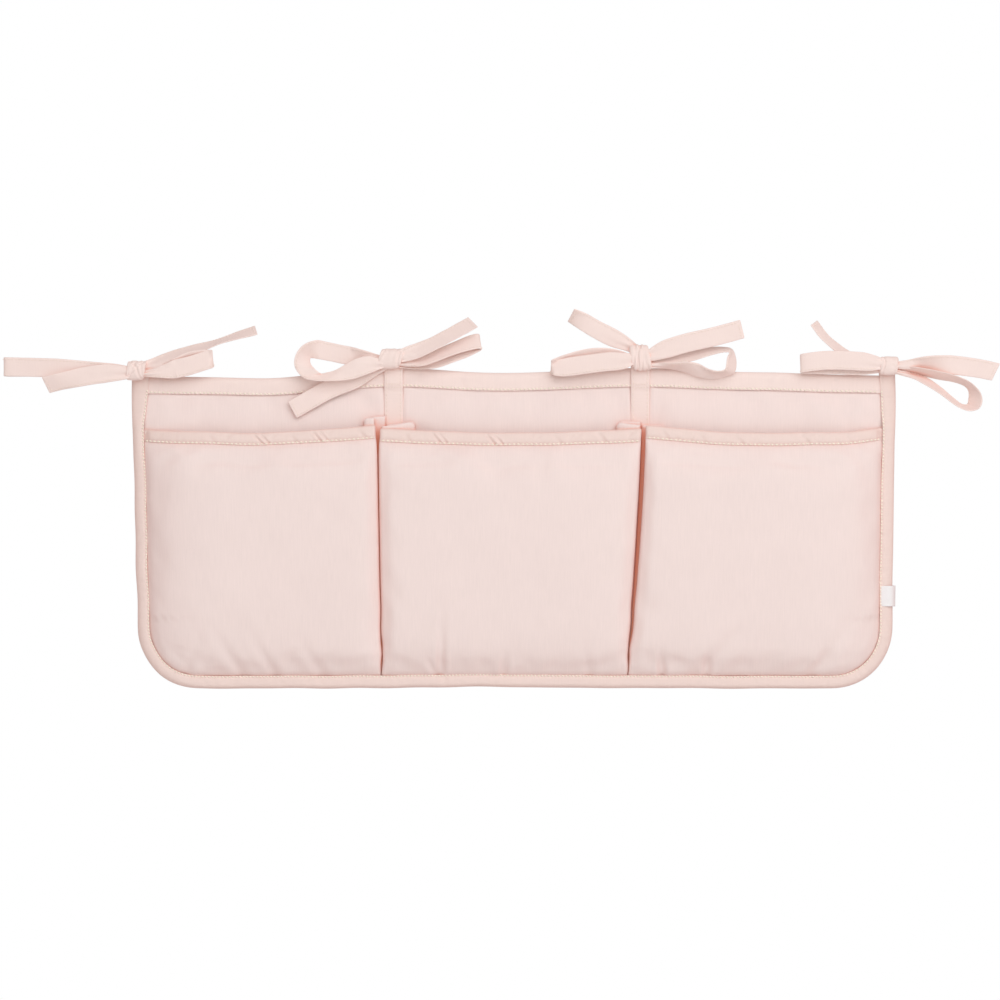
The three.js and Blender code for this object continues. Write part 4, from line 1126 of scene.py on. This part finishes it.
def ribbon(name, looped, seed):
    """One loop or free end of a tie, from the table of its two edges. Returns its middle, the way from
    there to its face, and its run."""
    rows, run = gathered_route(name, looped)
    share = RIBBON_COLUMNS
    across = rows[:, 0:2] - rows[:, 2:4]
    middle = (rows[:, 0:2] + rows[:, 2:4]) / 2
    seen = np.linalg.norm(across, axis=1)
    from_knot = np.minimum(run, run[-1] - run) if looped else run
    width = RIBBON_WIDTH * mix(GATHERED_SHARE, 1.0, ease(from_knot + 1.5, GATHER_LENGTH))
    seen_width = np.minimum(seen, width)
    lean = np.sqrt(np.maximum(0, width**2 - seen_width**2)) * rows[:, 5]
    way = across / seen[:, None]
    x = middle[:, 0:1] + way[:, 0:1] * seen_width[:, None] * share
    z = middle[:, 1:2] + way[:, 1:2] * seen_width[:, None] * share
    centre = np.stack([x, -(rows[:, 4:5] + lean[:, None] * share), z], -1)
    draw = np.random.default_rng(seed)
    folds = draw.uniform(1.1, 1.9)
    phase = draw.uniform(0, 2 * math.pi)
    drawn_in = np.exp(-from_knot / RUCK_FADE)[:, None]
    ruck = RUCK * drawn_in * np.sin(2 * math.pi * folds * share + phase)
    camber = 0.35 * (1 - drawn_in) * (1 - (2 * share) ** 2) * np.sin(run[:, None] / 26 + phase)
    ripple = waves(run[:, None], share * RIBBON_WIDTH, seed + 100, 24, 0.16)
    centre = centre + grid_normals(centre) * (ruck + camber + ripple)[..., None]
    half = RIBBON_THICKNESS / 2 * (0.75 + 0.25 * rounded((0.5 - np.abs(share)) * RIBBON_WIDTH, 0.6))
    up = grid_normals(centre) * np.broadcast_to(half, centre.shape[:2])[..., None]
    obj = slab_piece(name, centre + up, centre - up, run[:, None], share * RIBBON_WIDTH, tie_cotton)
    dress(obj, "panel", "ties", f"tie_{name}")
    return centre, up, run


# Knots: middle (x, z, depth), width and height, how far the wrap leans across, and its creases, each
# with its place along the knot from -1 to 1, its slant, its width and its depth
KNOTS = {
    "outer_left": {"at": (-296.3, 4.0, 13.0), "size": (14.8, 16.0), "lean": 0.9, "creases": (
        (-0.45, 0.55, 0.16, 0.10), (0.1, -0.75, 0.13, 0.13), (0.62, -0.35, 0.12, 0.09),
        (-0.1, 0.9, 0.12, 0.08))},
    "inner_left": {"at": (-96.6, 13.2, 13.1), "size": (19.0, 16.6), "lean": 2.2, "creases": (
        (0.66, -0.22, 0.12, 0.12), (-0.5, 0.35, 0.20, 0.06), (0.05, 0.3, 0.22, 0.05),
        (-0.82, 0.1, 0.10, 0.08))},
    "inner_right": {"at": (99.6, 14.2, 13.1), "size": (15.5, 20.5), "lean": -1.4, "creases": (
        (-0.62, 0.30, 0.12, 0.15), (-0.22, 0.25, 0.12, 0.17), (0.12, 0.10, 0.12, 0.13),
        (0.5, 0.05, 0.14, 0.11), (0.8, 0.1, 0.12, 0.07))},
    "outer_right": {"at": (294.6, 7.7, 12.9), "size": (14.2, 14.6), "lean": 0.5, "creases": (
        (-0.58, 0.03, 0.10, 0.11), (0.45, -0.3, 0.3, 0.05), (0.85, 0.1, 0.1, 0.06))},
}
KNOT_HALF_DEPTH = 5.4
KNOT_RINGS, KNOT_SIDES = 49, 72


def signed_power(value, power):
    return np.sign(value) * np.abs(value) ** power


def capped_tube(rings):
    """Points and faces of a closed body through rings of points, fanned shut at both ends."""
    points = rings.reshape(-1, 3)
    index = np.arange(len(points)).reshape(rings.shape[:2])
    after = np.roll(index, -1, axis=1)
    walls = np.stack([index[:-1], after[:-1], after[1:], index[1:]], -1).reshape(-1, 4)
    caps = []
    for end, ring in enumerate((index[0], index[-1])):
        for k in range(0, len(ring), 2):
            trio = [ring[k], ring[k + 1], ring[(k + 2) % len(ring)]]
            caps.append([len(points) + end, *(trio if end else trio[::-1])])
    ends = [points[index[0]].mean(0), points[index[-1]].mean(0)]
    return np.vstack([points, ends]), np.vstack([walls, caps])


def knot(name, number):
    """The wrapped middle of a bow: a flattened turn of the tape round the ribbons, with its creases."""
    size = KNOTS[name]
    (x0, z0, depth0), (width, height) = size["at"], size["size"]
    along = np.sin(np.linspace(-math.pi / 2, math.pi / 2, KNOT_RINGS))[:, None]
    angle = np.linspace(0, 2 * math.pi, KNOT_SIDES, endpoint=False)[None, :]
    side, ahead = np.sin(angle), np.cos(angle)
    lip = rounded(1 - np.abs(along), 0.16)
    barrel = 0.62 + 0.38 * lip - 0.10 * along**2 * lip
    radius = barrel * (1 + 0.025 * np.cos(2 * angle + number) + 0.02 * np.sin(3 * angle + 2 * along))
    for place, slant, wide, deep in size["creases"]:
        offset = (along - place - slant * side - 0.08 * np.sin(3 * angle + place * 9)) / wide
        radius = radius - deep * lip * (0.3 + 0.7 * np.abs(ahead)) * valley(offset, 0.3, 1.9, both=True)
    x = x0 + along * width / 2 + size["lean"] * side
    z = z0 + radius * height / 2 * signed_power(side, 0.85)
    depth = depth0 + radius * KNOT_HALF_DEPTH * signed_power(ahead, 0.8)
    points, faces = capped_tube(np.stack([x, -depth, z], -1))
    turned = np.stack(np.broadcast_arrays(angle * 7, along * width / 2), -1).reshape(-1, 2)
    flat = np.vstack([turned, [[0, -width / 2], [0, width / 2]]])
    dress(piece(f"{name}_knot", points, faces, flat, tie_cotton, 1), "panel", "ties", f"tie_{name}_knot")


STRAP_BOTTOM = -43.0
STRAP_HALF_THICKNESS = 0.55


def strap(name):
    """The tape of an inner tie, sewn down the panel and over the top tape, up to its knot. Returns its
    middle."""
    x_knot, z_knot, _ = KNOTS[name]["at"]
    share = RIBBON_COLUMNS
    z = steps(STRAP_BOTTOM, z_knot, RIBBON_SPACING)[:, None]
    rest = 7.0 + 1.9 * smoothstep(z, -17.5, -12) + 1.6 * smoothstep(z, 3, 10) - 0.4 * hill(z, -13.4, 1.6)
    width = RIBBON_WIDTH * mix(1.0, 0.86, smoothstep(z, 2, 10))
    x = mix(STRAP_X[name], x_knot, smoothstep(z, 0, z_knot)) + width * share
    from_side = (0.5 - np.abs(share)) * STRAP_WIDTH
    edge = -0.5 * (1 - rounded(from_side, 1.8)) - 0.25 * hill(from_side, 2.0, 0.8)
    depth = rest + edge + waves(z, share * RIBBON_WIDTH, 60 + len(name), 22, 0.12)
    depth = depth + 0.8 * smoothstep(z, 4, 12) * np.sin(share * 2 * math.pi * 2.2)
    lift = lift_at(np.array([STRAP_X[name]]))[0]
    lift = lift * np.where(z < 4, 1 - clamp(-z / LIFT_FADE), 1 - smoothstep(z, 4, z_knot))
    centre = np.stack(np.broadcast_arrays(x, -depth, z + lift), -1)
    up = grid_normals(centre) * STRAP_HALF_THICKNESS
    obj = slab_piece(f"{name}_strap", centre + up, centre - up, z + 40, share * RIBBON_WIDTH, tie_cotton)
    dress(obj, "panel", "ties", f"tie_{name}_strap")
    return centre


# Stitches

STITCH_SHARE = 0.74
THREAD_WIDTH, TIE_THREAD_WIDTH = 1.6, 0.7
seams = {"panel": [], "ties": [], "left": [], "middle": [], "right": []}


def seam(group, line, up, pitch=STITCH_PITCH, seed=0):
    """Marks the stitches of one row: a line of points and the way the cloth faces along it."""
    run = line_run(line)
    draw = np.random.default_rng(1000 + seed)
    places = np.arange(pitch / 2, run[-1] - pitch / 3, pitch)
    places = places + draw.uniform(-0.15, 0.15, len(places))

    def at(shift, values=line):
        return np.stack([np.interp(places + shift, run, values[:, k]) for k in range(3)], 1)

    way = at(0.6) - at(-0.6) + draw.uniform(-0.09, 0.09, (len(places), 3))
    way *= pitch * MM / np.linalg.norm(way, axis=1, keepdims=True)
    seams[group].append((at(0), way, at(0, up)))


def column_seam(group, grid, column, facing, rows=slice(None), seed=0, pitch=STITCH_PITCH):
    """A row of stitches along one column of a tape's outer face, looking the way that facing does."""
    low = int(column)
    parts = (grid, grid_normals(grid))
    line, up = (mix(part[rows, low], part[rows, low + 1], column - low) for part in parts)
    if np.mean(up @ np.asarray(facing, float)) < 0:
        up = -up
    seam(group, line, up, pitch, seed)


def stitch_tree():
    """Lays one short stitch of thread on every point, along its row and flat on the cloth."""
    tree = bpy.data.node_groups.new("stitches", "GeometryNodeTree")
    socket(tree, "Points", "NodeSocketGeometry")
    socket(tree, "Thread width", "NodeSocketFloat", THREAD_WIDTH * MM)
    socket(tree, "Thread", "NodeSocketMaterial")
    socket(tree, "Stitches", "NodeSocketGeometry", way="OUTPUT")
    entry = add(tree, "NodeGroupInput")
    width = entry.outputs["Thread width"]

    def attribute(name):
        node = add(tree, "GeometryNodeInputNamedAttribute", {"Name": name}, data_type="FLOAT_VECTOR")
        return node.outputs["Attribute"]

    way = attribute("stitch_way")
    pitch = add(tree, "ShaderNodeVectorMath", {0: way}, operation="LENGTH").outputs["Value"]
    length = calc(tree, "MULTIPLY", pitch, STITCH_SHARE)
    size = add(tree, "ShaderNodeCombineXYZ", {"X": length, "Y": width, "Z": width})
    grain = add(tree, "GeometryNodeMeshUVSphere", {"Segments": 7, "Rings": 5, "Radius": 0.5})
    along = add(tree, "FunctionNodeAlignRotationToVector", {"Vector": way}, axis="X")
    turn = {"Rotation": along.outputs["Rotation"], "Vector": attribute("stitch_up")}
    upright = add(tree, "FunctionNodeAlignRotationToVector", turn, axis="Z", pivot_axis="X")
    laid = add(tree, "GeometryNodeInstanceOnPoints", {
        "Points": entry.outputs["Points"], "Instance": grain.outputs["Mesh"],
        "Rotation": upright.outputs["Rotation"], "Scale": size.outputs["Vector"]})
    real = add(tree, "GeometryNodeRealizeInstances", {"Geometry": laid.outputs["Instances"]})
    finish = {"Geometry": real.outputs["Geometry"], "Material": entry.outputs["Thread"]}
    finished = add(tree, "GeometryNodeSetMaterial", finish).outputs["Geometry"]
    add(tree, "NodeGroupOutput", {"Stitches": finished})
    return tree


def sew(tree, group, name, **choices):
    """Makes one piece of all the stitches of a group."""
    at, way, up = (np.concatenate(part) for part in zip(*seams[group]))
    source = plain_object(f"{name}_points", at, [])
    for attribute, values in (("stitch_way", way), ("stitch_up", up)):
        layer = source.data.attributes.new(attribute, "FLOAT_VECTOR", "POINT")
        layer.data.foreach_set("vector", values.astype(np.float32).ravel())
    modifier = source.modifiers.new("stitches", "NODES")
    modifier.node_group = tree
    for item in tree.interface.items_tree:
        if item.name in choices:
            modifier[item.identifier] = choices[item.name]
    graph = bpy.context.evaluated_depsgraph_get()
    graph.update()
    made = bpy.data.meshes.new_from_object(source.evaluated_get(graph))
    bpy.data.objects.remove(source)
    made.name = name
    made.polygons.foreach_set("use_smooth", np.ones(len(made.polygons), bool))
    return placed(name, made)


def lip_seams(group, tape, ends, seeds, pitch=STITCH_PITCH):
    """The stitches along both lips of a folded tape, front and back."""
    rows = slice(ends, -ends)
    column_seam(group, tape, STITCH_COLUMN, FRONT, rows, seeds[0], pitch)
    column_seam(group, tape, tape.shape[1] - 1 - STITCH_COLUMN, BACK, rows, seeds[1], pitch)


def strap_seams(face, number):
    """Two rows down a strap and two across it, where it crosses the lip of the top tape."""
    for column, seed in ((1.6, 30), (10.4, 34)):
        column_seam("ties", face, column, FRONT, slice(1, -8), seed + number)
    for row in (24, 26):
        seam("ties", face[row, 1:-1], np.tile(FRONT, (11, 1)), STRAP_PITCH, 40 + row)


def ribbon_seams(grid, up, run, looped, number):
    """The row along one side of a ribbon, and across its free end, on both of its faces."""
    near = int(np.searchsorted(run, 9))
    rows = slice(near, -near if looped else -2)
    column = 1.4 if number % 2 else 10.6
    low = int(column)
    for normal in (up, -up):
        face = grid + normal
        line = mix(face[rows, low], face[rows, low + 1], column - low)
        seam("ties", line, normal[rows, low], EDGE_PITCH, 300 + number)
        if not looped:
            seam("ties", face[-3, 1:-1], normal[-3, 1:-1], EDGE_PITCH, 330 + number)


# The caddy, put together

panel_pad()
lip_seams("panel", edge_tape(), 5, (1, 2), EDGE_PITCH)
lip_seams("panel", top_tape(), 5, (3, 4))
pocket_pads()
for number, name in enumerate(POCKETS):
    lip_seams(name, mouth_tape(name, number), 3, (10 + number, 20 + number), MOUTH_PITCH)
for divider, side in GUSSETS:
    gusset(divider, side)
label()
for number, name in enumerate(STRAP_X):
    strap_seams(strap(name) - np.array([0, STRAP_HALF_THICKNESS, 0]), number)
for number, name in enumerate(KNOTS):
    knot(name, number)
for number, name in enumerate(RIBBON_ROUTES):
    looped = "_loop_" in name
    ribbon_seams(*ribbon(name, looped, 200 + number), looped, number)

tree = stitch_tree()
tie_choices = {"Thread": tie_thread, "Thread width": TIE_THREAD_WIDTH * MM}
dress(sew(tree, "panel", "panel_stitches", Thread=thread), "panel", "cotton")
dress(sew(tree, "ties", "tie_stitches", **tie_choices), "panel", "ties")
for name in POCKETS:
    carry(dress(sew(tree, name, f"pocket_{name}_stitches", Thread=thread), None, "cotton"))


# Stage, light and camera

FLOOR_REACH, FLOOR_LEVEL = 6000, -620
FLOOR_GREY = (0.9, 0.9, 0.9, 1)
# Metres from the middle of the floor where it starts to fade to white, and where it is white
FADE_START, FADE_END = 0.5, 1.0
AIR_COLOUR, AIR_STRENGTH = (1.0, 0.935, 0.91, 1), 0.5
LAMP_COLOUR, LAMP_POWER, LAMP_SIZE = (0.985, 1.02, 1.035), 57, (4.2, 2.9)
LAMP_PLACE, LAMP_AIM = Vector((0.8, -2.6, 1.4)), Vector((0, 0, -0.1))
LENS, SEEN_AS_FAR_AS = 150, 50
CAMERA_PLACE = (-0.0106, -3.2833, -0.0977)


def show(tree, output, share, plain, shown):
    """Sends two shaders to a tree's output, the second by the given share."""
    parts = {"Fac": share, 1: plain.outputs[0], 2: shown.outputs[0]}
    both = add(tree, "ShaderNodeMixShader", parts).outputs[0]
    feed(tree, tree.nodes[output].inputs["Surface"], both)


def stage():
    """A matte floor that fades to white away from the caddy, for the camera alone."""
    finish = {"Base Color": FLOOR_GREY, "Roughness": 1.0, "Specular IOR Level": 0.0}
    material, tree, matte = new_material("pale_floor", finish)
    place = add(tree, "ShaderNodeTexCoord").outputs["Object"]
    away = add(tree, "ShaderNodeVectorMath", {0: place}, operation="LENGTH").outputs["Value"]
    fade = ranged(tree, away, FADE_START, FADE_END, 1.0, interpolation_type="SMOOTHSTEP")
    seen = calc(tree, "MULTIPLY", fade, add(tree, "ShaderNodeLightPath").outputs["Is Camera Ray"])
    show(tree, "Material Output", seen, matte, add(tree, "ShaderNodeEmission"))
    ways = ((-1, -1), (1, -1), (1, 1), (-1, 1))
    corners = np.array([(FLOOR_REACH * x, FLOOR_REACH * y, FLOOR_LEVEL) for x, y in ways])
    floor = plain_object("floor", corners, np.array([[0, 1, 2, 3]]))
    floor.data.materials.append(material)


def surroundings():
    """White behind the caddy and a soft even light from all round."""
    world = bpy.data.worlds.new("studio")
    bpy.context.scene.world = world
    world.use_nodes = True
    tree = world.node_tree
    air = tree.nodes["Background"]
    air.inputs["Color"].default_value = AIR_COLOUR
    air.inputs["Strength"].default_value = AIR_STRENGTH
    white = add(tree, "ShaderNodeBackground", {"Color": (1, 1, 1, 1), "Strength": 1.0})
    rays = add(tree, "ShaderNodeLightPath")
    seen = calc(tree, "MAXIMUM", rays.outputs["Is Camera Ray"], rays.outputs["Is Glossy Ray"])
    show(tree, "World Output", seen, air, white)


def lamp():
    """One wide soft lamp high in front, a little to the right."""
    data = bpy.data.lights.new("key", "AREA")
    data.shape = "RECTANGLE"
    data.size, data.size_y = LAMP_SIZE
    data.energy = LAMP_POWER
    data.color = LAMP_COLOUR
    obj = placed("key", data)
    obj.location = LAMP_PLACE
    obj.rotation_euler = (LAMP_AIM - LAMP_PLACE).to_track_quat("-Z", "Y").to_euler()


def camera():
    """A long lens, level and straight on."""
    view = bpy.data.cameras.new("camera")
    view.lens = LENS
    view.clip_end = SEEN_AS_FAR_AS
    obj = placed("camera", view)
    obj.location = CAMERA_PLACE
    obj.rotation_euler = (math.radians(90), 0, 0)
    bpy.context.scene.camera = obj
    bpy.context.scene.view_settings.view_transform = "Standard"


stage()
surroundings()
lamp()
camera()
